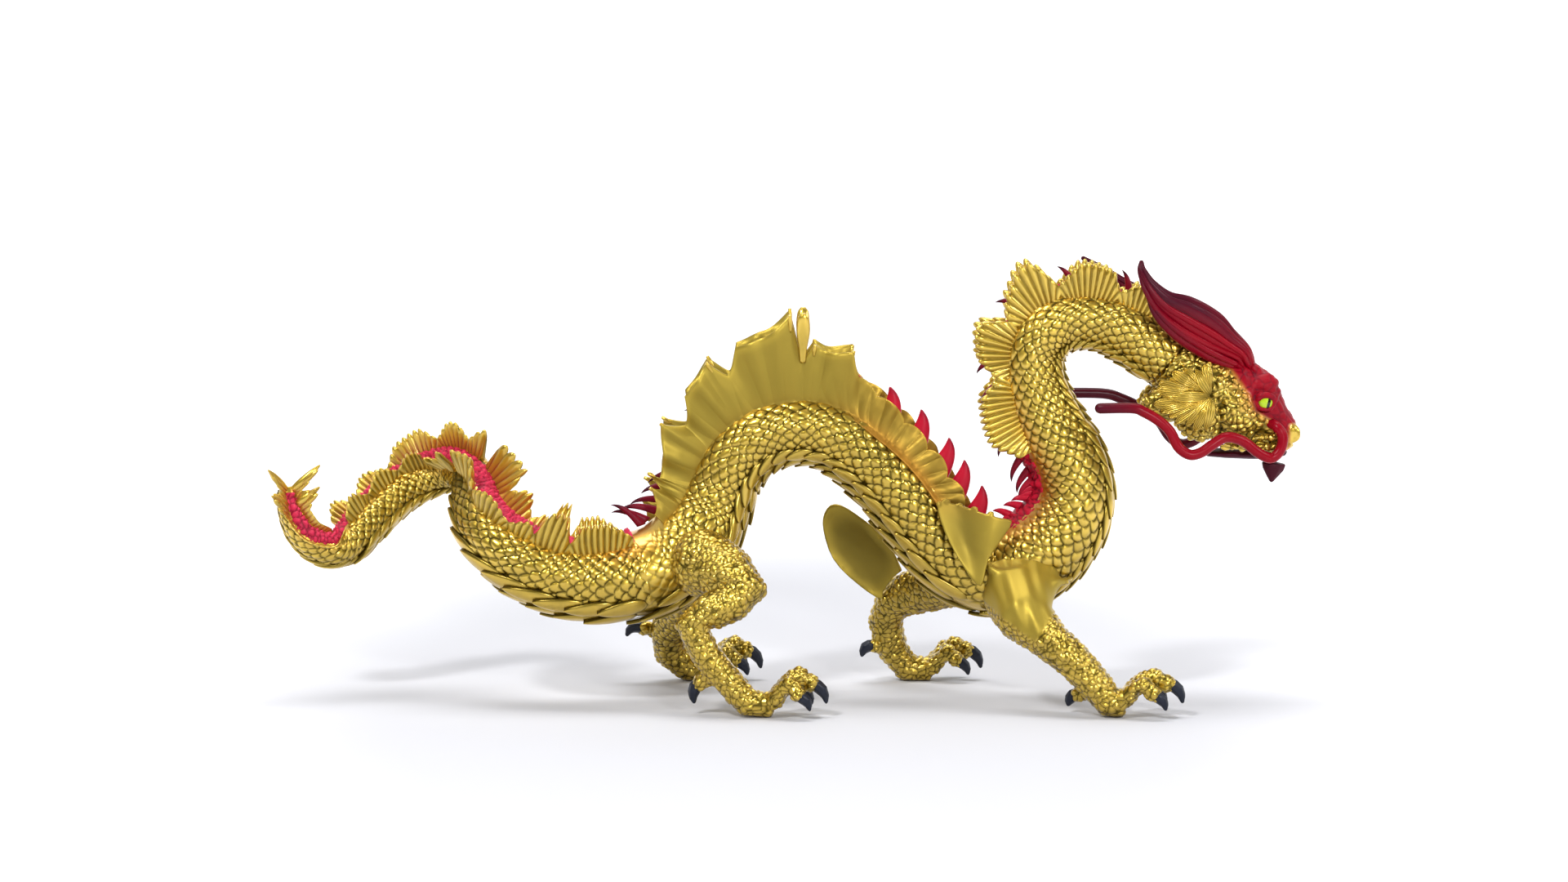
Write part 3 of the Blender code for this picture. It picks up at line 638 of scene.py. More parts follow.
def leaf_plate(sculpt, place, angle, length, width, rise):
    """A leaf-shaped plate on the body whose free, rounded end points to the tail."""
    along = np.linspace(0.0, 1.0, 15)
    across = np.linspace(-1.0, 1.0, 9)
    share, side = np.meshgrid(along, across, indexing="ij")
    outline = np.maximum(np.sin(np.pi * np.clip(share, 0.0, 1.0) ** 0.62) ** 0.6, 0.04)
    radius = spine(np.array([place]))[1][0]
    angles = angle + side * outline * (width / 2) / radius
    places = np.maximum(place - share * length, STATIONS[0, 0])
    crown = (1.0 - side ** 2) ** 0.5
    top = on_body(places, angles, 0.1 + rise * share + 0.42 * crown * (0.4 + 0.6 * outline))
    under = on_body(places, angles, -0.45 + rise * share)
    rings = np.concatenate([top, under[:, ::-1]], axis=1)
    # Painted shade along each plate's sides and at its root, under the plate in front; its underside is all shade.
    groove = np.clip(0.9 * (np.abs(side) ** 6) + 0.5 * ease(0.15, 0.0, share), 0.0, 1.0)
    wash = np.concatenate([groove, np.ones_like(groove)], axis=1)
    sculpt.tube(rings, wash=wash)


def belly_plates(node, look):
    """Rows of overlapping leaf plates along the underside of one moulding."""
    start, end = ENDS[node]
    radius = spine(np.array([(start + end) / 2]))[1][0]
    first_angle, length, width, rise = PLATES[node]
    length, width, rise = length * radius, width * radius, rise * radius
    step = 0.62 * length
    turns = np.linspace(math.pi, math.radians(first_angle) + 0.12, 2 if node == "neck" else 3)
    sculpt = Sculpt()
    for row, turn in enumerate(turns):
        for side in ((1,) if row == 0 else (1, -1)):
            place = start + length * 0.6 + row * 0.33 * step
            number = 0
            while place < end - 0.2:
                chance = scatter(number, row * 3 + side, 2.0)
                angle = side * (turn + 0.06 * (chance - 0.5))
                leaf_plate(sculpt, place, angle, length * (0.85 + 0.3 * chance), width, rise * (0.7 + 0.6 * chance))
                place += step
                number += 1
    return sculpt.build(f"plates_{node}", look, "gold_paint")


# ---------------------------------------------------------------- frills and ridge

def strip_lines(node, moulding):
    """The foot and crest lines of a CAD strip, point by point from its tail end."""
    points, triangles = cad_shape(node)
    start, end = ENDS[moulding]
    tail_end = spine(np.array([start]))[0][0]
    rings = rings_from(points, triangles, 4, lambda point: -np.linalg.norm(point - tail_end))
    line = spine(np.arange(start, end, 0.3))[0]
    feet, crests = [], []
    for ring in rings:
        centre = line[np.linalg.norm(line - ring.mean(axis=0), axis=1).argmin()]
        order = np.linalg.norm(ring - centre, axis=1).argsort()
        feet.append(ring[order[:2]].mean(axis=0))
        crests.append(ring[order[2:]].mean(axis=0))
    return np.array(feet), np.array(crests)


def place_of(points):
    """Where along the spine each point lies."""
    places = np.arange(STATIONS[0, 0], STATIONS[-1, 0], 0.25)
    centre = spine(places)[0]
    return places[np.linalg.norm(points[:, None] - centre[None], axis=2).argmin(axis=1)]


def edge_heights(knots, heights, wanted, pointed):
    """The height of a frill's edge between its knots: hollow between pointed tips, or waves with round tips."""
    first = np.clip(np.searchsorted(knots, wanted) - 1, 0, len(knots) - 2)
    part = (wanted - knots[first]) / (knots[first + 1] - knots[first])
    low = np.minimum(heights[first], heights[first + 1])
    high = np.maximum(heights[first], heights[first + 1])
    to_peak = np.where(heights[first + 1] > heights[first], part, 1.0 - part)
    share = to_peak ** 1.5 if pointed else ease(-0.15, 0.95, to_peak)
    return low + (high - low) * share


def fan_ribs(knots, heights, wanted, spacing, share):
    """Ribs that spread from the middle of each fan, where a fan runs from one low point of the edge to the next."""
    inner = [n for n in range(1, len(knots) - 1) if heights[n] < heights[n - 1] and heights[n] <= heights[n + 1]]
    bounds = np.array([knots[0], *knots[inner], knots[-1]])
    fan = np.clip(np.searchsorted(bounds, wanted) - 1, 0, len(bounds) - 2)
    width = bounds[fan + 1] - bounds[fan]
    count = np.maximum(2, np.round(width / spacing))[:, None]
    across = ((wanted - bounds[fan]) / width - 0.5)[:, None]
    phase = count * (across / (0.72 + 0.28 * share) + 0.5)
    return np.abs(np.sin(np.pi * phase)) ** 0.75


# How each frill is moulded: spacing of its ribs, depth of the ribs, and how far they notch the edge.
RIBS = {
    "tail_tip": (1.0, 0.22, 0.30),
    "tail_middle": (1.1, 0.34, 0.20),
    "tail_base": (1.4, 0.40, 0.20),
    "trunk": (2.6, 0.10, 0.0),
    "neck": (1.1, 0.42, 0.16),
}
SAIL_FLAP = 2.6            # how far the foot of the sail's front part runs down the flank


def frill(moulding, side, look):
    """A frill along one side of the back: fans of rounded ribs, or a smooth pointed sail on the trunk."""
    node = f"frill_{side}_{moulding}"
    sail = moulding == "trunk"
    feet, crests = strip_lines(node, moulding)
    spacing, depth, notch = RIBS[moulding]
    sign = 1.0 if side == "right" else -1.0
    knots = np.concatenate([[0.0], np.cumsum(np.linalg.norm(np.diff(feet, axis=0), axis=1))])
    tall = np.linalg.norm(crests - feet, axis=1)
    if sail:
        fold_first, fold_second = sorted(np.argsort(tall)[-2:])
        tall[fold_second] *= 0.66
        tall[:fold_first] *= 0.91
        tall[fold_second + 1:] *= 0.88
    else:
        tall[local_peaks(-tall)] *= 0.5
    along = np.linspace(0.0, knots[-1], max(24, int(1.5 * knots[-1] / FIN_GRID)))
    height = edge_heights(knots, tall, along, sail)
    ways = unit(crests - feet)
    way = unit(np.stack([np.interp(along, knots, ways[:, axis]) for axis in range(3)], axis=1))
    foot = smooth_between(knots, feet, along)
    place = place_of(foot)
    start, end = ENDS[moulding]
    forward = (place - start) / (end - start)
    towards_head = spine(place)[2]
    outward = body_distance(foot)[1]
    round_body = np.cross(towards_head, outward)
    flap = SAIL_FLAP * ease(0.52, 0.64, forward) if sail else np.full(len(along), 0.2)
    root = foot - 1.1 * outward + sign * round_body * flap[:, None]
    levels = 26
    share = np.concatenate([np.linspace(0, 1, levels), np.linspace(1, 0, levels)])[None, :]
    face = np.concatenate([np.ones(levels), -np.ones(levels)])[None, :]
    rib = fan_ribs(knots, tall, along, spacing, share)
    edge = fan_ribs(knots, tall, along, spacing, np.ones((1, 1)))[:, 0]
    height = height * (1.0 - notch * (1.0 - edge) * ease(0.8, 2.5, height))
    front = (ease(0.5, 0.62, forward) * ease(1.0, 0.88, forward))[:, None]
    if sail:
        height = height + front[:, 0] * (1.5 * np.abs(np.sin(np.pi * along / 6.2)) ** 0.6 - 0.3)
    crest = foot + way * height[:, None]
    sideways = unit(np.cross(towards_head, crest - root))
    size = np.clip(height / 4.0, 0.4, 1.0)[:, None]
    half = (0.58 - 0.26 * share) * size + depth * size * (rib - 0.35) * ease(0.0, 0.15, share)
    half = half * (0.15 + 0.85 * ease(1.03, 0.70 if sail else 0.90, share))
    sway = np.zeros_like(half)
    if sail:
        batten = np.exp(-(np.subtract.outer(along, knots[1:-1][np.diff(np.sign(np.diff(tall))) < 0]) / 0.8) ** 2)
        half = half + 0.30 * batten.max(axis=1)[:, None] * share + 0.5 * ease(0.22, 0.0, share)
        half = half + 0.30 * front * (rib - 0.5) * ease(0.1, 0.5, share)
        sway = (0.7 * np.sin(0.62 * along) + 0.35 * np.sin(1.7 * along))[:, None] * share ** 1.3
        sway = sway * ease(0.5, 5.0, height)[:, None]
    bend = 2.0 * share * (1.0 - share)
    points = (
        root[:, None] * ((1.0 - share) ** 2)[..., None]
        + foot[:, None] * bend[..., None]
        + crest[:, None] * (share ** 2)[..., None]
        + sideways[:, None] * (face * half + sway)[..., None]
    )
    inner = face * sign < 0
    lower = ease(0.6, 0.0, share)
    groove = (1.0 - rib) ** 1.4 * ease(0.0, 0.15, share)
    if sail:
        rear = ease(0.22, 0.05, forward)[:, None]
        tint = 0.10 * lower + (0.50 * front + 0.30 * rear) * (0.35 + 0.65 * lower)
        # Painted shade over the sail, deeper near its root except at the front, and taken off along its top edge as a
        # painted highlight.
        wash = 0.30 + 0.25 * ease(0.35, 0.0, share) * (1.0 - front) - 0.40 * ease(0.9, 1.0, share)
        red = np.zeros_like(half)
    else:
        tint = 0.10 * lower * np.ones_like(half)
        # Painted shade in the grooves between ribs, weaker on the face towards the body.
        wash = 0.85 * groove * np.where(inner, 0.3, 1.0)
        red = np.where(inner, 0.25 + 0.75 * groove, 0.0) * ease(1.02, 0.55, share)
    sculpt = Sculpt()
    wash = np.clip(wash, 0.0, 1.0) * np.ones_like(half)
    sculpt.tube(points, wash=wash, tint=tint, red=red, satin=1.0 if sail else 0.0)
    if sail:
        sail_tips(sculpt, feet, ways, tall, fold_first)
    if moulding == "tail_tip":
        for number in (0, *local_peaks(tall)):
            if tall[number] > 3.0:
                frond(sculpt, feet[number], crests[number], sign)
    return sculpt.build(f"frill_{side}_{moulding}_skin", look, "gold_paint", node)


def local_peaks(values):
    """Numbers of the values that are higher than both of their neighbours."""
    return [n for n in range(1, len(values) - 1) if values[n] > values[n - 1] and values[n] > values[n + 1]]


def sail_tips(sculpt, feet, ways, tall, fold_first):
    """The rounded tips of a sail, and the narrow rolled fold that stands beside its tallest tip."""
    for number in local_peaks(tall):
        shares = np.array([0.80, 0.92, 1.01])
        path = feet[number] + ways[number] * (tall[number] * shares)[:, None]
        sizes = np.array([0.16, 0.40, 0.30])
        sculpt.tube(strand(path, sizes, sizes, 12, 5))
    slit = fold_first + 1
    shares = np.array([0.42, 0.58, 0.78, 0.94, 1.0])
    path = feet[slit] + ways[slit] * (tall[fold_first] * 1.02 * shares)[:, None]
    sizes = np.array([0.35, 0.55, 0.95, 0.80, 0.35])
    sculpt.tube(strand(path, 1.35 * sizes, 0.75 * sizes, 14, 6))


def frond(sculpt, foot, crest, sign):
    """A pointed finger of the tail tuft, curved outwards between a foot and a crest point."""
    way = crest - foot
    outward = np.array([0.0, -sign, 0.0])
    shares = np.array([-0.25, 0.15, 0.5, 0.8, 1.05])
    path = foot + shares[:, None] * way + outward * (1.1 * shares ** 2 - 0.2)[:, None]
    thick = np.array([0.5, 0.75, 0.70, 0.50, 0.16])
    rings = strand(path, thick, 0.7 * thick, 14, 6)
    angle = np.arange(14) / 14 * TURN
    streak = ease(0.5, -0.3, np.abs(np.sin(1.5 * angle)))[None, :] * np.ones((len(rings), 1))
    sculpt.tube(rings, wash=0.5 * streak)


# Spikes of the ridge: height as a share of the CAD spike, length along the back, thickness.
SPIKES = {
    "trunk": (0.80, 4.4, 2.3),
    "neck": (0.62, 2.3, 1.9),
}


def spike(sculpt, foot, crest, tailwards, length, thick, dark):
    """A blunt hooked spike whose point leans towards the tail; dark is the share of maroon over it."""
    levels, sides = 16, 14
    share = np.linspace(0.0, 1.0, levels)
    up = unit(crest - foot)
    tall = np.linalg.norm(crest - foot) + 0.9
    base = foot - 0.9 * up
    centre = base + up * (tall * np.sin(1.35 * share) / math.sin(1.35))[:, None]
    centre = centre + tailwards * (tall * 0.36 * share ** 2.2)[:, None]
    beside = unit(np.cross(up, tailwards))
    angle = np.arange(sides) / sides * TURN
    slim = np.sqrt(np.clip(1.0 - share ** 6, 0.0, 1.0)) * (1.0 - 0.55 * share)
    rings = (
        centre[:, None]
        + tailwards * (np.cos(angle)[None, :] * (0.5 * length * slim + 0.05)[:, None])[..., None]
        + beside * (np.sin(angle)[None, :] * (0.5 * thick * slim + 0.05)[:, None])[..., None]
    )
    tip = np.clip(dark + 0.55 * ease(0.5, 1.0, share), 0.0, 1.0)[:, None] * np.ones((1, sides))
    sculpt.tube(rings[:, ::-1], tip=tip)


def knobbly_strip(sculpt, moulding, first):
    """A strip of rounded knobs along the middle of the back, from a place to the moulding's head end."""
    end = ENDS[moulding][1]
    place = np.linspace(first, end, int((end - first) / (FIN_GRID * 1.2)))
    angle = (np.arange(19) / 18 - 0.5) * 2.0 * BACK * 0.95
    grid_place, grid_angle = np.meshgrid(place, angle, indexing="ij")
    flat = on_body(grid_place, grid_angle, np.zeros_like(grid_place))
    knob, gap = pebbles(flat.reshape(-1, 3), 1.0 if moulding.startswith("tail") else 1.5)
    knob, gap = knob.reshape(flat.shape[:2]), gap.reshape(flat.shape[:2])
    crown = ease(BACK, 0.0, np.abs(grid_angle))
    lift = 0.10 + 0.55 * crown + 0.62 * (knob - 0.3) * (0.4 + 0.6 * crown)
    top = on_body(grid_place, grid_angle, lift)
    under = on_body(grid_place, grid_angle, np.full_like(lift, -0.8))
    rings = np.concatenate([top, under[:, ::-1]], axis=1)
    # Painted shade in the gaps between knobs and on their lower parts.
    dark = 0.55 * gap + 0.2 * (1.0 - knob)
    sculpt.tube(rings, wash=np.concatenate([dark, np.ones_like(dark)], axis=1))


def ridge(moulding, look):
    """A knobbly strip along the back on the tail and neck, and hooked spikes on the trunk and neck."""
    node = f"ridge_{moulding}"
    feet, crests = strip_lines(node, moulding)
    start, end = ENDS[moulding]
    sculpt = Sculpt()
    if moulding != "trunk":
        knobbly_strip(sculpt, moulding, place_of(feet[:1])[0] if moulding == BODY[0] else start)
    if moulding in SPIKES:
        tall_share, length, thick = SPIKES[moulding]
        tall = np.linalg.norm(crests - feet, axis=1)
        places = place_of(feet)
        tailwards = -spine(places)[2]
        for number in local_peaks(tall):
            share = (places[number] - start) / (end - start)
            rear = float(ease(0.5, 0.35, share)) if moulding == "trunk" else 0.45
            taller = 0.15 * rear if moulding == "trunk" else 0.55 * float(ease(0.25, 0.4, share))
            crest = feet[number] + (crests[number] - feet[number]) * (tall_share + taller)
            slim = 1.0 - 0.62 * rear
            dark = 0.75 * rear if moulding == "trunk" else 0.05 + 0.6 * float(ease(0.25, 0.4, share))
            spike(sculpt, feet[number], crest, tailwards[number], length * slim, thick * slim, dark)
    return sculpt.build(f"ridge_{moulding}_skin", look, "pink_paint", node)


# ---------------------------------------------------------------- sculpted pieces

def resampled(name, node, voxel, extra=()):
    """A CAD node's shape, joined with extra closed patches, as an even fine mesh: points, quads and neighbours."""
    points, triangles = cad_shape(node)
    all_points, faces = [points], triangles.tolist()
    total = len(points)
    for more_points, *more_faces in extra:
        all_points.append(more_points)
        for group in more_faces:
            faces += (np.asarray(group) + total).tolist()
        total += len(more_points)
    mesh = bpy.data.meshes.new(name)
    mesh.from_pydata((np.vstack(all_points) * MM).tolist(), [], faces)
    thing = bpy.data.objects.new(name, mesh)
    bpy.context.scene.collection.objects.link(thing)
    step = thing.modifiers.new("even", "REMESH")
    step.mode = "VOXEL"
    step.voxel_size = voxel * MM
    bpy.context.view_layer.update()
    shaped = thing.evaluated_get(bpy.context.evaluated_depsgraph_get()).to_mesh()
    fine = np.empty(len(shaped.vertices) * 3, np.float32)
    shaped.vertices.foreach_get("co", fine)
    corners = np.empty(len(shaped.loops), np.int32)
    shaped.loops.foreach_get("vertex_index", corners)
    edges = np.empty(len(shaped.edges) * 2, np.int32)
    shaped.edges.foreach_get("vertices", edges)
    quads = corners.reshape(-1, 4)
    result = fine.reshape(-1, 3).astype(float) / MM, quads.astype(int), edges.reshape(-1, 2)
    bpy.data.objects.remove(thing)
    return result


def relaxed(points, edges, rounds, keep=None):
    """Points smoothed towards their neighbours; keep is a share of each point that stays."""
    degree = np.bincount(edges.ravel(), minlength=len(points)).astype(float)
    for count in range(rounds):
        total = np.stack([
            np.bincount(edges[:, 0], points[edges[:, 1], axis], minlength=len(points))
            + np.bincount(edges[:, 1], points[edges[:, 0], axis], minlength=len(points))
            for axis in range(3)
        ], axis=1)
        target = total / degree[:, None]
        share = 0.5 if keep is None else 0.5 * (1.0 - keep)[:, None]
        points = points + (target - points) * share
    return points


def normals_of(points, quads):
    """Outward directions at the points of a quad mesh."""
    a, b, c, d = (points[quads[:, corner]] for corner in range(4))
    face = np.cross(c - a, d - b)
    total = np.zeros_like(points)
    for axis in range(3):
        total[:, axis] = np.bincount(quads.ravel(), np.repeat(face[:, axis], 4), minlength=len(points))
    return unit(total)


def hollows(points, edges, normals, rounds, depth):
    """1 where a point lies at least a depth inside the smoothed shape around it, and 0 where it stands out."""
    smooth = relaxed(points, edges, rounds)
    return ease(0.0, depth, np.sum((smooth - points) * normals, axis=1))


def pebbles(points, size):
    """Rounded pebbles scattered over a surface: height from 0 to 1, and how deep in the gaps each point lies."""
    height = np.empty(len(points))
    for number, point in enumerate(points):
        distances = noise.voronoi(Vector(point) / size)[0]
        height[number] = distances[1] - distances[0]
    return ease(0.0, 0.55, height), ease(0.16, 0.02, height)


def ball_patch(centre, radii, turn=None):
    """A closed ellipsoid; turn is a rotation matrix whose columns are its axes."""
    rings, sides = 8, 12
    tilt = np.linspace(0.0, math.pi, rings + 1)[1:-1]
    angle = np.arange(sides) / sides * TURN
    body = np.stack([
        np.outer(np.sin(tilt), np.cos(angle)),
        np.outer(np.sin(tilt), np.sin(angle)),
        np.outer(np.cos(tilt), np.ones(sides)),
    ], axis=-1).reshape(-1, 3)
    points = np.vstack([body, [[0, 0, 1], [0, 0, -1]]]) * np.asarray(radii)
    if turn is not None:
        points = points @ np.asarray(turn).T
    index = np.arange(len(body)).reshape(-1, sides)
    triangles = []
    for level in range(len(index) - 1):
        for side in range(sides):
            after = (side + 1) % sides
            triangles.append((index[level, side], index[level + 1, side], index[level + 1, after]))
            triangles.append((index[level, side], index[level + 1, after], index[level, after]))
    for side in range(sides):
        after = (side + 1) % sides
        triangles.append((len(body), index[0, side], index[0, after]))
        triangles.append((len(body) + 1, index[-1, after], index[-1, side]))
    return points + np.asarray(centre), np.array(triangles)


def toe_patches(leg):
    """Knuckles over the toes, and swollen sockets round the claws."""
    patches = []
    for name in ("1", "2", "3", "rear"):
        path = centreline(f"claw_{leg}_{name}", 6, 2)[0]
        ahead = unit(path[1] - path[0])
        size = 1.0 if name == "2" else 0.88
        patches.append(ball_patch(path[0] - 0.75 * ahead, (1.75 * size,) * 3))
        if name != "rear":
            patches.append(ball_patch(path[0] - 3.0 * size * ahead + np.array([0.0, 0.0, 0.5]), (1.85 * size,) * 3))
            patches.append(ball_patch(path[0] - 1.9 * size * ahead + np.array([0.0, 0.0, 0.9]), (1.0 * size,) * 3))
    return patches


# The smooth skin that hangs from the lip of the neck over the right foreleg, as shares of the leg's box along
# X, Y and Z, with its half width across and its half thickness.
SLEEVE = (
    (0.225, 0.80, 0.925, 7.0, 3.2),
    (0.215, 0.60, 0.79, 6.2, 3.6),
    (0.225, 0.45, 0.665, 4.9, 3.3),
    (0.255, 0.33, 0.57, 3.0, 2.2),
    (0.265, 0.28, 0.51, 1.3, 1.1),
)
NECK_LIP = (
    (0.00, 0.72, 0.985), (0.07, 0.64, 0.935), (0.20, 0.57, 0.89), (0.33, 0.60, 0.865), (0.43, 0.70, 0.855),
    (0.50, 0.86, 0.87),
)


def in_box(node, shares):
    """Points at shares of a CAD node's box."""
    low, high = box(node)
    return low + (high - low) * np.array(shares)[:, :3]


def sleeve_patches(leg):
    """The skin hanging over a shoulder, and the rounded lip of the neck above it."""
    table = np.array(SLEEVE)
    lip = in_box(leg, NECK_LIP)
    thin = np.array([0.5, 0.9, 1.05, 1.05, 0.9, 0.5])
    return [
        closed_tube(strand(in_box(leg, SLEEVE), table[:, 3], table[:, 4], 24, 6)),
        closed_tube(strand(lip, thin, thin, 12, 6)),
    ]


def leg_skin(leg, look):
    """A pebbled leg that flows into the body, with smooth hanging skin at the right shoulder."""
    patches = toe_patches(leg)
    shoulder = leg == "fore_leg_right"
    if shoulder:
        patches += sleeve_patches(leg)
    points, quads, edges = resampled(leg, leg, VOXEL, patches)
    points = relaxed(points, edges, 8)
    outside, outward = body_distance(points)
    sink = ease(1.5, 0.6, outside)
    if not shoulder:
        points = points - outward * (1.7 * sink)[:, None]
    points = relaxed(points, edges, 4)
    normals = normals_of(points, quads)
    low, high = box(leg)
    share = (points - low) / (high - low)
    height, gap = pebbles(points, 1.2)
    rough = np.ones(len(points))
    satin = np.zeros(len(points))
    folds = np.zeros(len(points))
    if shoulder:
        hem = np.interp(share[:, 0], (0.0, 0.1, 0.265, 0.36, 0.46), (0.72, 0.64, 0.50, 0.66, 0.85))
        rough = ease(0.03, -0.01, share[:, 2] - hem)
        points = relaxed(points, edges, 40, np.maximum(rough, ease(0.90, 0.93, share[:, 2])))
        normals = normals_of(points, quads)
        folds = 0.10 * np.sin(2.2 * points[:, 0] + 0.5 * points[:, 2]) * (1.0 - rough)
        satin = 1.0 - rough
    sole = ease(0.25, 0.8, points[:, 2])
    points = points + normals * (0.27 * (height - 0.3) * rough * sole + folds)[:, None]
    # Painted shade in the gaps between pebbles, and more of it over the far (left) legs, which lie in shade.
    dark = 0.08 + gap * 0.85 * rough
    if leg.endswith("left"):
        dark = dark + 0.12
    sculpt = Sculpt()
    sculpt.add(points, quads, [], wash=np.clip(dark, 0.0, 1.0), satin=satin)
    return sculpt.build(f"{leg}_skin", look, "gold_paint", leg)


def claws(leg, look):
    """The four glossy claws of one foot, each a curved horn through its CAD claw."""
    made = []
    for name in ("1", "2", "3", "rear"):
        node = f"claw_{leg}_{name}"
        points, quads, edges = resampled(node, node, 0.12)
        points = relaxed(points, edges, 8)
        normals = normals_of(points, quads)
        points = points + normals * 0.12
        sculpt = Sculpt()
        sculpt.add(points, quads, [])
        made.append(sculpt.build(f"{node}_skin", look, "claw_paint", node))
    return made


def plain_sculpt(node, look, slot, voxel, rounds, grow=0.0, grooves=None, **paint):
    """A CAD node rounded off and grown a little, with grooves where a function of its points gives them."""
    points, quads, edges = resampled(node, node, voxel)
    points = relaxed(points, edges, rounds)
    normals = normals_of(points, quads)
    wash = np.zeros(len(points))
    if grooves:
        depth, wash = grooves(points)
        points = points + normals * depth[:, None]
    values = {name: value(points) for name, value in paint.items()}
    sculpt = Sculpt()
    sculpt.add(points + normals * grow, quads, [], wash=wash, **values)
    return sculpt.build(f"{node}_skin", look, slot, node)


def elbow_membrane(look):
    """The smooth skin stretched between the shoulder and the sail, with soft folds and knobs along its upper edge."""
    node = "elbow_fin_right"
    low, high = box(node)
    size = high - low
    patches = []
    for x, z in ((0.02, 0.97), (0.12, 1.0), (0.30, 0.95), (0.50, 0.91), (0.72, 0.86), (0.97, 0.76)):
        patches.append(ball_patch(low + size * np.array([x, 0.5, z]), (0.55 + 0.3 * scatter(x, z), 0.5, 0.55)))
    points, quads, edges = resampled(node, node, 0.7 * VOXEL, patches)
    points = relaxed(points, edges, 5)
    share = (points - low) / size
    reach = np.hypot(share[:, 0] - 0.62, share[:, 2] - 0.0)
    fan = np.arctan2(share[:, 0] - 0.62, share[:, 2] + 0.12)
    fold = np.sin(7.0 * fan + 0.6) * ease(0.05, 0.7, reach)
    points[:, 1] += -0.75 * fold - 1.1 * ease(0.5, 0.0, share[:, 2])
    sculpt = Sculpt()
    # Painted shade in the troughs of the folds, and painted light on their ridges.
    wash = np.clip(0.26 - 0.22 * fold, 0.0, 1.0)
    sculpt.add(points, quads, [], wash=wash, tint=0.12 * ease(0.7, 1.0, share[:, 2]), satin=1.0)
    return sculpt.build(f"{node}_skin", look, "gold_paint", node)


def elbow_leaf(look):
    """The smooth leaf behind the far elbow: a raised rim round a dished middle, darkened with painted shade."""
    node = "elbow_fin_left"
    points, quads, edges = resampled(node, node, 0.7 * VOXEL)
    points = relaxed(points, edges, 8)
    outline = cad_points(node)[:, [0, 2]]
    centre = middle(node)[[0, 2]]
    off = points[:, [0, 2]] - centre
    turn = np.arctan2(off[:, 1], off[:, 0])
    rim_off = outline - centre
    rim_turn = np.arctan2(rim_off[:, 1], rim_off[:, 0])
    turns = np.linspace(-math.pi, math.pi, 49)
    reach = np.linalg.norm(rim_off, axis=1)
    nearby = np.abs((rim_turn[None, :] - turns[:, None] + math.pi) % TURN - math.pi) < 0.30
    rims = np.array([reach[near].max() if near.any() else reach.mean() for near in nearby])
    rims = np.convolve(np.concatenate([rims[-4:-1], rims, rims[1:4]]), np.full(7, 1 / 7), mode="valid")
    rim = np.interp(turn, turns, rims)
    inside = np.linalg.norm(off, axis=1) / rim
    dish = ease(1.0, 0.55, inside)
    away = np.where(points[:, 1] < middle(node)[1], 1.0, -1.0)
    points[:, 1] += away * (0.35 * dish - 0.25 * ease(0.8, 0.97, inside))
    sculpt = Sculpt()
    # Painted shade, deepest in the dished middle.
    sculpt.add(points, quads, [], wash=0.15 + 0.45 * dish, satin=1.0)
    return sculpt.build(f"{node}_skin", look, "gold_paint", node)


# ---------------------------------------------------------------- head

def brow_point():
    """The point midway between the two eyes, from which the face is laid out."""
    return (middle("eye_right") + middle("eye_left")) / 2


def face_strand(sign, radius, *spots):
    """A thin closed roll of flesh through spots given from the brow point as ahead, beside and up."""
    path = brow_point() + np.array(spots, float) * np.array([1.0, sign, 1.0])
    sizes = np.full(len(path), radius)
    sizes[[0, -1]] *= 0.55
    return closed_tube(strand(path, sizes, sizes, 10, 5))


def face_ball(sign, ahead, beside, up, radii):
    """A closed lump of flesh at a spot given from the brow point."""
    return ball_patch(brow_point() + np.array([ahead, sign * beside, up]), radii)


def eyelids(sign):
    """A heavy upper lid and a thin lower lid round one eye."""
    eye = middle("eye_right" if sign < 0 else "eye_left") - brow_point()
    beside = abs(eye[1]) + 0.95
    patches = []
    for first, last, thickness, reach, open_share in ((5, 165, 0.70, 1.62, 0.84), (180, 350, 0.45, 1.60, 0.86)):
        turn = np.radians(np.linspace(first, last, 7))
        spots = [
            (reach * math.cos(a) - 0.05, beside - 0.25 * math.cos(2 * a), reach * open_share * math.sin(a))
            for a in turn
        ]
        patches.append(face_strand(sign, thickness, *spots))
    patches.append(face_strand(sign, 0.5, (1.3, beside, 1.5), (1.55, beside, 0.1), (1.0, beside, -1.4)))
    return patches


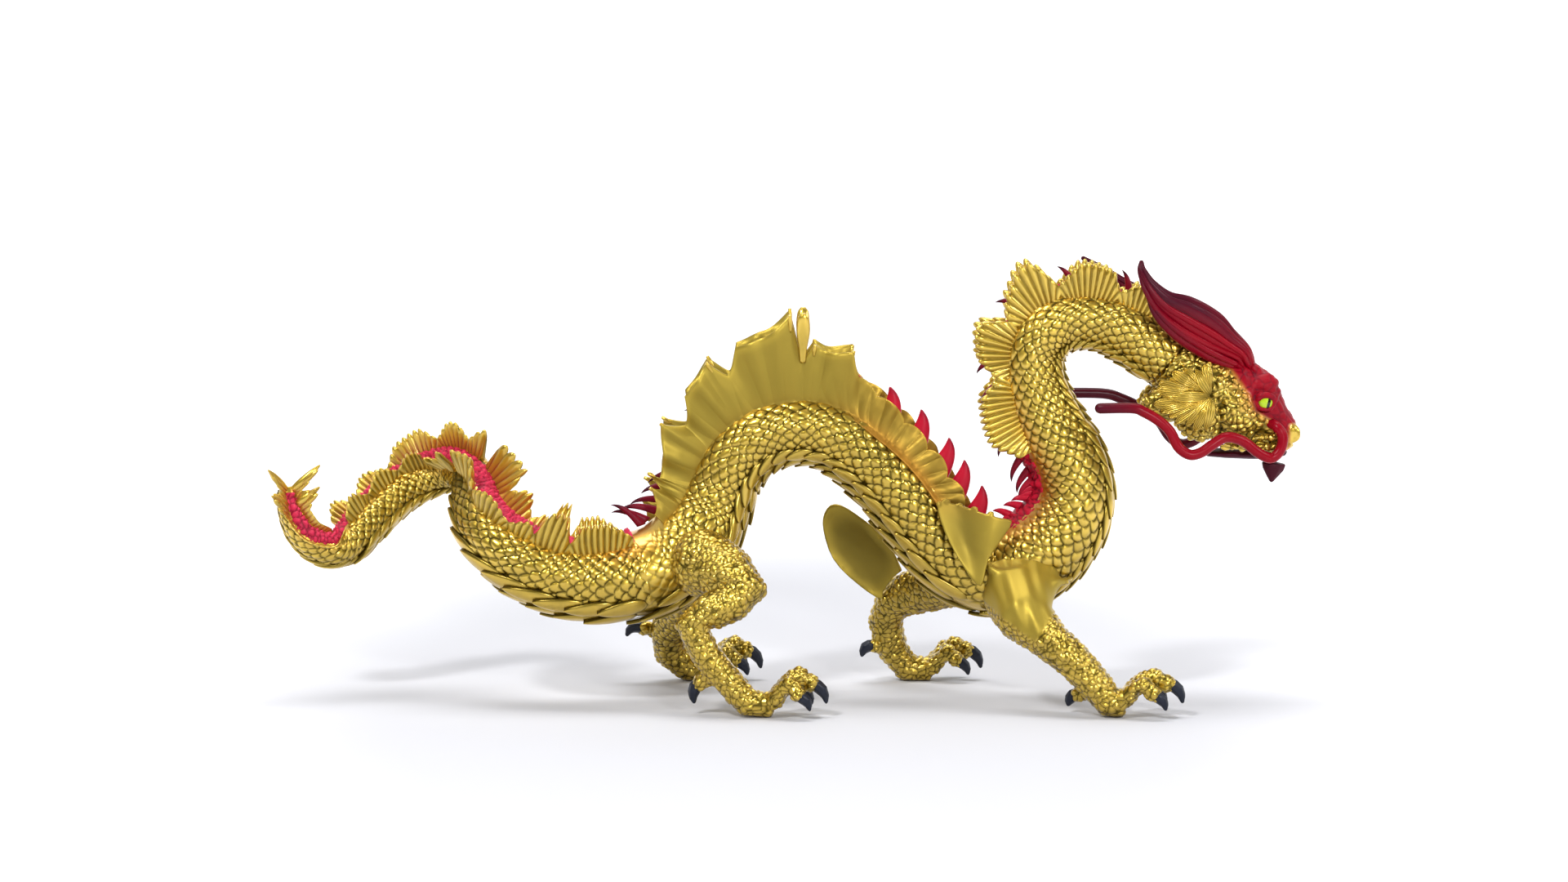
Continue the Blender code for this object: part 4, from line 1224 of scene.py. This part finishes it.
def face_patches():
    """The flesh added to the plain CAD head: forehead, brows, lids, muzzle, lips and jowls."""
    patches = [
        face_strand(1, 2.3, (-1.5, 0, 2.2), (1.4, 0, -1.6), (3.6, 0, -4.4), (4.6, 0, -5.8)),
        face_strand(1, 2.6, (-9.0, 0, 6.6), (-5.5, 0, 6.0), (-2.5, 0, 4.6), (-0.5, 0, 3.0)),
    ]
    for sign in (-1, 1):
        patches += [
            face_strand(sign, 0.85, (-3.4, 1.2, 6.0), (-2.6, 1.7, 7.3), (-2.3, 1.9, 8.2)),
            face_strand(sign, 0.80, (-2.6, 2.3, 7.0), (-1.4, 3.3, 5.6), (-0.6, 4.0, 3.4)),
            face_strand(sign, 0.75, (-4.2, 2.6, 6.6), (-3.0, 4.0, 4.8), (-2.4, 4.8, 2.4), (-2.6, 5.2, 0.4)),
            face_strand(sign, 1.15, (-2.2, 4.4, 2.9), (-0.2, 4.3, 3.5), (1.2, 3.5, 3.1), (2.0, 2.4, 2.0)),
            face_strand(sign, 0.80, (-1.9, 4.0, 1.3), (-0.4, 4.5, 2.0), (1.3, 4.0, 1.9), (2.5, 3.0, 1.0)),
            face_ball(sign, 0.4, 3.6, 4.4, (1.15, 1.1, 1.0)),
            face_ball(sign, 1.7, 3.1, 3.4, (1.0, 1.1, 1.0)),
            face_ball(sign, 2.2, 2.9, 1.7, (0.95, 1.1, 1.05)),
            face_ball(sign, 1.9, 2.9, 0.3, (0.8, 1.0, 0.85)),
            face_strand(sign, 0.75, (0.6, 3.4, -1.6), (2.6, 2.6, -3.6), (4.4, 2.0, -5.2)),
            face_ball(sign, 5.3, 1.9, -5.9, (1.05, 1.1, 1.2)),
            face_strand(sign, 0.62, (5.2, 1.5, -4.8), (6.1, 2.0, -5.4), (6.2, 2.2, -6.8), (5.4, 2.3, -7.7)),
            face_strand(sign, 0.85, (5.4, 1.3, -8.3), (3.4, 3.3, -8.6), (0.4, 4.5, -8.5), (-4.0, 5.3, -8.2),
                        (-8.5, 5.8, -8.2)),
            face_strand(sign, 0.60, (4.0, 3.2, -6.3), (1.0, 4.6, -6.6), (-2.5, 5.6, -6.6)),
            face_ball(sign, -5.2, 4.4, -1.6, (4.2, 2.6, 4.4)),
            face_ball(sign, -12.0, 4.2, -1.5, (5.0, 2.4, 6.0)),
            face_ball(sign, -17.0, 3.6, -0.4, (6.0, 2.4, 3.4)),
        ]
        patches += eyelids(sign)
    return patches


def red_of_face(points):
    """The share of red paint over the face: mane root, forehead, brows and nose bridge, fading into gold."""
    off = points - brow_point()
    edge = np.interp(off[:, 2], (-8.0, -5.5, -3.5, -1.5, 1.5, 6.0, 9.5), (4.6, 3.6, 1.2, -2.3, -3.4, -6.5, -12.0))
    nostril = ease(4.3, 5.2, off[:, 0]) * ease(-3.9, -4.8, off[:, 2])
    past = off[:, 0] - edge
    return ease(-0.7, 0.9, past) * (1.0 - nostril), ease(-4.0, 0.3, past) * (1.0 - nostril)


def head_skin(look):
    """The sculpted head: red brows and forehead over gold, beaded cheeks."""
    points, quads, edges = resampled("head", "head", VOXEL * 0.85, face_patches())
    points = relaxed(points, edges, 3)
    normals = normals_of(points, quads)
    off = points - brow_point()
    red, tint = red_of_face(points)
    height, gap = pebbles(points, 1.3)
    beaded = (1.0 - ease(0.1, 0.5, red)) * ease(4.5, 3.0, off[:, 0])
    points = points + normals * (0.42 * (height - 0.3) * beaded)[:, None]
    wrinkle, crease = pebbles(points, 1.9)
    points = points + normals * (0.12 * (wrinkle - 0.5) * red)[:, None]
    deep = hollows(points, edges, normals, 12, 0.16)
    # Painted shade in the gaps between beads, in the creases of the red paint and in the hollows.
    wash = np.clip(gap * 0.8 * beaded + 0.4 * crease * red + 0.9 * deep, 0.0, 1.0)
    sculpt = Sculpt()
    sculpt.add(points, quads, [], wash=wash, red=red, tint=0.55 * tint)
    return sculpt.build("head_skin", look, "gold_paint", "head")


def eye(side, look):
    """A glossy eye with a dark rim and an upright slit."""
    node = f"eye_{side}"
    points, quads, edges = resampled(node, node, 0.13)
    points = relaxed(points, edges, 3)
    off = points - middle(node)
    slit = ease(0.36, 0.22, np.abs(off[:, 0] - 0.50 - 0.22 * off[:, 2])) * ease(1.5, 1.1, np.abs(off[:, 2]))
    rim = ease(0.9, 1.6, np.hypot(off[:, 0], off[:, 2]))
    sculpt = Sculpt()
    sculpt.add(points, quads, [], wash=rim * 0.8, tip=slit)
    return sculpt.build(f"{node}_skin", look, "eye_paint", node)


def ribbed_leaf(sculpt, sign, start, end, width, lift):
    """A ribbed, pointed leaf between two points; sign is the side of the head it stands out from."""
    along = np.linspace(0.0, 1.0, 30)
    across = np.linspace(-1.0, 1.0, 25)
    share, side = np.meshgrid(along, across, indexing="ij")
    outward = np.array([0.0, sign, 0.0])
    way = end - start
    beside = unit(np.cross(way, outward))
    leaf = np.sin(np.pi * share ** 0.85) ** 0.7
    fan = (0.16 + 0.84 * share) * np.sqrt(np.clip(1.0 - share ** 4, 0.0, 1.0))
    outline = np.maximum(fan if width > 2.5 else leaf, 0.05)
    rib = np.abs(np.cos(2.5 * np.pi * side)) ** 0.8
    reach = share * (1.0 + 0.10 * (rib - 1.0) * ease(0.6, 1.0, share))
    top_height = lift * np.sin(np.pi * share) * 0.6 + (0.45 + 0.30 * rib) * np.sqrt(1.0 - 0.8 * side ** 2)
    base = (
        start
        + way * reach[..., None]
        + beside * (side * outline * width / 2)[..., None]
    )
    top = base + outward * top_height[..., None]
    under = base - outward * 0.35
    # Painted shade in the grooves between ribs and towards the root.
    groove = np.clip((1.0 - rib) ** 1.5 + 0.5 * ease(0.3, 0.0, share), 0.0, 1.0)
    rings = np.concatenate([top, under[:, ::-1]], axis=1)
    if sign > 0:
        rings = rings[:, ::-1]
        groove_all = np.concatenate([np.ones_like(groove), groove], axis=1)
    else:
        groove_all = np.concatenate([groove, np.ones_like(groove)], axis=1)
    sculpt.tube(rings, wash=0.85 * groove_all)


CHEEK_LEAVES = 15
CHEEK_SPREAD = math.radians(84)      # how far the outermost leaves turn from straight back


def cheek_frill(side, look):
    """Overlapping ribbed leaves that fan out from the front of the CAD frill to the edges of its box."""
    node = f"cheek_frill_{side}"
    low, high = box(node)
    size = high - low
    sign = -1 if side == "right" else 1
    outer = (high if sign > 0 else low)[1] - 0.3 * sign
    root = np.array([high[0] - 0.12 * size[0], outer, low[2] + 0.55 * size[2]])
    order = sorted(range(CHEEK_LEAVES), key=lambda number: scatter(number, 6.0))
    sculpt = Sculpt()
    for layer, number in enumerate(order):
        chance = scatter(number, 4.0)
        turn = CHEEK_SPREAD * (2.0 * number / (CHEEK_LEAVES - 1) - 1.0)
        above = 0.45 if turn > 0 else 0.55
        reach = np.array([-0.88 * size[0] * math.cos(turn), 0.0, above * size[2] * math.sin(turn)])
        start = root + 0.22 * chance * reach
        width = 0.16 * size[2] * (1.0 + 0.5 * chance)
        ribbed_leaf(sculpt, sign, start, root + (0.82 + 0.18 * chance) * reach, width, 0.4 + 0.10 * layer)
    return sculpt.build(f"{node}_skin", look, "gold_paint", node)


# ---------------------------------------------------------------- whiskers and mane

def whisker(side, look):
    """A smooth round strand through the CAD whisker, darker at its tip."""
    node = f"whisker_{side}"
    path, heights, widths = centreline(node, 8, 0)
    inward = np.array([-1.6, -2.2 * np.sign(path[0, 1]), 0.9])
    path = np.vstack([path[0] + inward, path])
    heights, widths = (np.concatenate([sizes[:1], sizes]) for sizes in (heights, widths))
    rings = round_off(strand(path, heights * 1.12, widths * 1.12, 20))
    along = np.linspace(0.0, 1.0, len(rings))
    tip = ease(0.78, 1.0, along) if side == "right" else 0.55 + 0.45 * along
    sculpt = Sculpt()
    sculpt.tube(rings, tip=tip[:, None])
    return sculpt.build(f"{node}_skin", look, "red_paint", node)


def laid_strand(sculpt, path, sizes, above):
    """One fine strand of a lock; above, from 0 to 1, is how much darker it grows between a tenth and two fifths of
    its length.
    """
    ends = np.ones(len(path))
    ends[0] = 0.5
    ends[-1] = 0.5
    thin = sizes * ends
    rings = round_off(strand(path, thin, thin, 12, 10))
    share = np.linspace(0.0, 1.0, len(rings))[:, None]
    dark = ease(0.45, 1.0, share) + above * ease(0.1, 0.4, share)
    sculpt.tube(rings, tip=np.clip(dark, 0.0, 1.0))


def mane_lock(side, look):
    """A curled lock: a grooved body with finer strands along it, over a lower lobe with a hollow between them."""
    node = f"mane_{side}"
    path, heights, widths = centreline(node, 8, 0)
    inward = -np.sign(path[0, 1])
    root = path[0] + np.array([[1.9, 1.2 * inward, -3.4], [0.9, 0.5 * inward, -1.4]])
    path = np.vstack([root, path])
    heights, widths = (np.concatenate([0.6 * sizes[:1], 0.85 * sizes[:1], sizes]) for sizes in (heights, widths))
    forward, sideways, down = across_path(path)
    whole = len(path)
    sculpt = Sculpt()
    rings = round_off(strand(path, heights, widths, 64, 14))
    along = np.linspace(0.0, 1.0, len(rings))[:, None]
    angle = (np.arange(64) / 64 * TURN)[None, :]
    centre = rings.mean(axis=1, keepdims=True)
    wave = np.abs(np.sin(3.5 * angle + 2.5 * along + 0.9 * np.sin(6.0 * along))) ** 0.7
    carved = rings + (rings - centre) * (0.34 * (wave - 0.6) * ease(0.0, 0.2, along))[..., None]
    upper = ease(0.4, -0.6, np.sin(angle))
    dark = np.clip(ease(0.40, 0.95, along) + 0.75 * upper * ease(0.10, 0.35, along), 0.0, 1.0)
    # Painted shade in the carved grooves.
    sculpt.tube(carved, tip=dark, wash=0.75 * ease(0.5, 0.0, wave))
    strands = 7
    for number in range(strands):
        turn = TURN * number / strands + 0.3
        chance = scatter(number, 3.0)
        last = whole - (1 if chance > 0.35 else 3)
        laid = (
            path[:last]
            + sideways[:last] * (math.cos(turn) * widths[:last] * 0.95)[:, None]
            + down[:last] * (math.sin(turn) * heights[:last] * 0.95)[:, None]
        )
        laid_strand(sculpt, laid, (0.26 + 0.26 * chance) * np.sqrt(heights[:last]), 0.75 * max(0.0, -math.sin(turn)))
    lowest = whole - 2
    share = np.linspace(0.0, 1.0, lowest)
    belly = heights[:lowest] * 0.8 + 2.1 * np.sin(np.pi * share ** 0.8)
    for drop, out, size in ((1.0, 0.15, 0.85), (0.80, 0.62, 0.55), (0.55, -0.45, 0.70)):
        hang = path[:lowest] + down[:lowest] * (drop * belly)[:, None]
        hang = hang - sideways[:lowest] * (inward * out * widths[:lowest])[:, None]
        laid_strand(sculpt, hang, size * (0.55 + 0.65 * np.sin(np.pi * share)), 0.15)
    return sculpt.build(f"{node}_skin", look, "red_paint", node)


# ---------------------------------------------------------------- floor, lights, camera

def paper(name, points, faces, colour, glow):
    """A plain sheet of paper that isn't part of the object, with painted light: it glows more away from the middle;
    glow is how strongly.
    """
    mesh = bpy.data.meshes.new(name)
    mesh.from_pydata(points, [], faces)
    sheet = bpy.data.objects.new(name, mesh)
    bpy.context.scene.collection.objects.link(sheet)
    made, link, shader, add = nodes_of(name)
    shader.inputs["Base Color"].default_value = (*colour, 1.0)
    shader.inputs["Roughness"].default_value = 0.9
    shader.inputs["Emission Color"].default_value = (1.0, 1.0, 1.0, 1.0)
    # Painted light: the emission rises away from the middle.
    place = add("ShaderNodeTexCoord")
    shallow = add("ShaderNodeVectorMath", operation="MULTIPLY")
    shallow.inputs[1].default_value = (1.0, 0.5, 1.0)
    link(place.outputs["Object"], shallow.inputs[0])
    far = add("ShaderNodeVectorMath", operation="LENGTH")
    link(shallow.outputs[0], far.inputs[0])
    rise = add("ShaderNodeMapRange", interpolation_type="SMOOTHSTEP")
    rise.inputs["From Min"].default_value = 0.07
    rise.inputs["From Max"].default_value = 0.16
    rise.inputs["To Max"].default_value = glow
    link(far.outputs["Value"], rise.inputs["Value"])
    link(rise.outputs["Result"], shader.inputs["Emission Strength"])
    mesh.materials.append(made)


def lamp(name, place, size, power):
    """A soft rectangular light aimed at the middle of the object."""
    data = bpy.data.lights.new(name, "AREA")
    data.shape = "RECTANGLE"
    data.size, data.size_y = size
    data.energy = power
    light = bpy.data.objects.new(name, data)
    light.location = place
    aim = Vector((0.0, 0.0, 0.04)) - Vector(place)
    light.rotation_euler = aim.to_track_quat("-Z", "Y").to_euler()
    bpy.context.scene.collection.objects.link(light)


def studio():
    """A plain pale floor and backdrop, soft lights and the camera."""
    low, high = np.array(CAD_LOW), np.array(CAD_HIGH)
    length = high[0] - low[0]
    wide, deep = 12 * length, 6 * length
    paper(
        "floor", [(-wide, -deep, -0.0001), (wide, -deep, -0.0001), (wide, deep, -0.0001), (-wide, deep, -0.0001)],
        [(0, 1, 2, 3)], (0.56, 0.565, 0.60), 0.6,
    )
    paper("backdrop", [(-wide, deep, 0), (wide, deep, 0), (wide, deep, deep), (-wide, deep, deep)], [(0, 1, 2, 3)],
          (0.9, 0.9, 0.9), 0.75)
    lamp("overhead", (0.0, 0.10, 0.80), (0.6, 0.3), 4.0)
    lamp("key", (-0.30, -0.50, 0.60), (0.10, 0.10), 3.6)
    lamp("front", (0.30, -0.75, 0.30), (0.08, 0.08), 2.5)
    lamp("side", (0.65, -0.20, 0.40), (0.10, 0.20), 1.2)

    world = bpy.data.worlds.new("studio")
    bpy.context.scene.world = world
    world.use_nodes = True
    tree = world.node_tree
    background = tree.nodes["Background"]
    place = tree.nodes.new("ShaderNodeTexCoord")
    split = tree.nodes.new("ShaderNodeSeparateXYZ")
    tree.links.new(place.outputs["Generated"], split.inputs[0])
    ramp = tree.nodes.new("ShaderNodeMapRange")
    ramp.inputs["From Min"].default_value = -0.55
    ramp.inputs["From Max"].default_value = 0.35
    ramp.inputs["To Min"].default_value = 0.14
    ramp.inputs["To Max"].default_value = 0.75
    tree.links.new(split.outputs["Y"], ramp.inputs["Value"])
    seen = tree.nodes.new("ShaderNodeLightPath")
    strength = tree.nodes.new("ShaderNodeMath")
    strength.operation = "MAXIMUM"
    tree.links.new(ramp.outputs["Result"], strength.inputs[0])
    tree.links.new(seen.outputs["Is Camera Ray"], strength.inputs[1])
    tree.links.new(strength.outputs[0], background.inputs["Strength"])
    background.inputs["Color"].default_value = (1.0, 1.0, 1.0, 1.0)

    camera = bpy.data.cameras.new("camera")
    camera.lens = 100.0
    camera.sensor_width = 36.0
    camera.clip_start = 0.01
    camera.clip_end = 100.0
    eye = bpy.data.objects.new("camera", camera)
    bpy.context.scene.collection.objects.link(eye)
    tilt = math.radians(6.0)
    distance = 4.25 * length
    aim = Vector((-0.0004, 0.0001, 0.586 * high[2]))
    back = Vector((0.0, -math.cos(tilt), math.sin(tilt)))
    eye.location = aim + back * distance
    eye.rotation_euler = (-back).to_track_quat("-Z", "Y").to_euler()
    bpy.context.scene.camera = eye
    bpy.context.scene.view_settings.view_transform = "Standard"


# ---------------------------------------------------------------- everything

def build():
    """Every visible piece."""
    gold = painted_gold()
    red = painted_red("red_paint", RED, MAROON, 0.30)
    bright = painted_red("bright_red_paint", BRIGHT_RED, MAROON, 0.36)
    pink = painted_red("pink_paint", PINK, RED, 0.42)
    maroon = painted_red("maroon_paint", MAROON, MAROON, 0.4)
    claw = painted_claw()
    green = painted_eye()
    for node in BODY:
        body_skin(node, gold)
        belly_plates(node, gold)
        for side in ("right", "left"):
            frill(node, side, gold)
        ridge(node, bright if node in SPIKES else pink)
    for leg in ("fore_leg_right", "fore_leg_left", "hind_leg_right", "hind_leg_left"):
        leg_skin(leg, gold)
        claws(leg, claw)
    for side in ("right", "left"):
        eye(side, green)
        cheek_frill(side, gold)
        mane_lock(side, red)
        whisker(side, red)
    elbow_membrane(gold)
    elbow_leaf(gold)
    head_skin(gold)
    plain_sculpt("lower_jaw", maroon, "maroon_paint", VOXEL, 6)
    plain_sculpt("chin_tuft", maroon, "maroon_paint", 0.15, 6)


build()
studio()
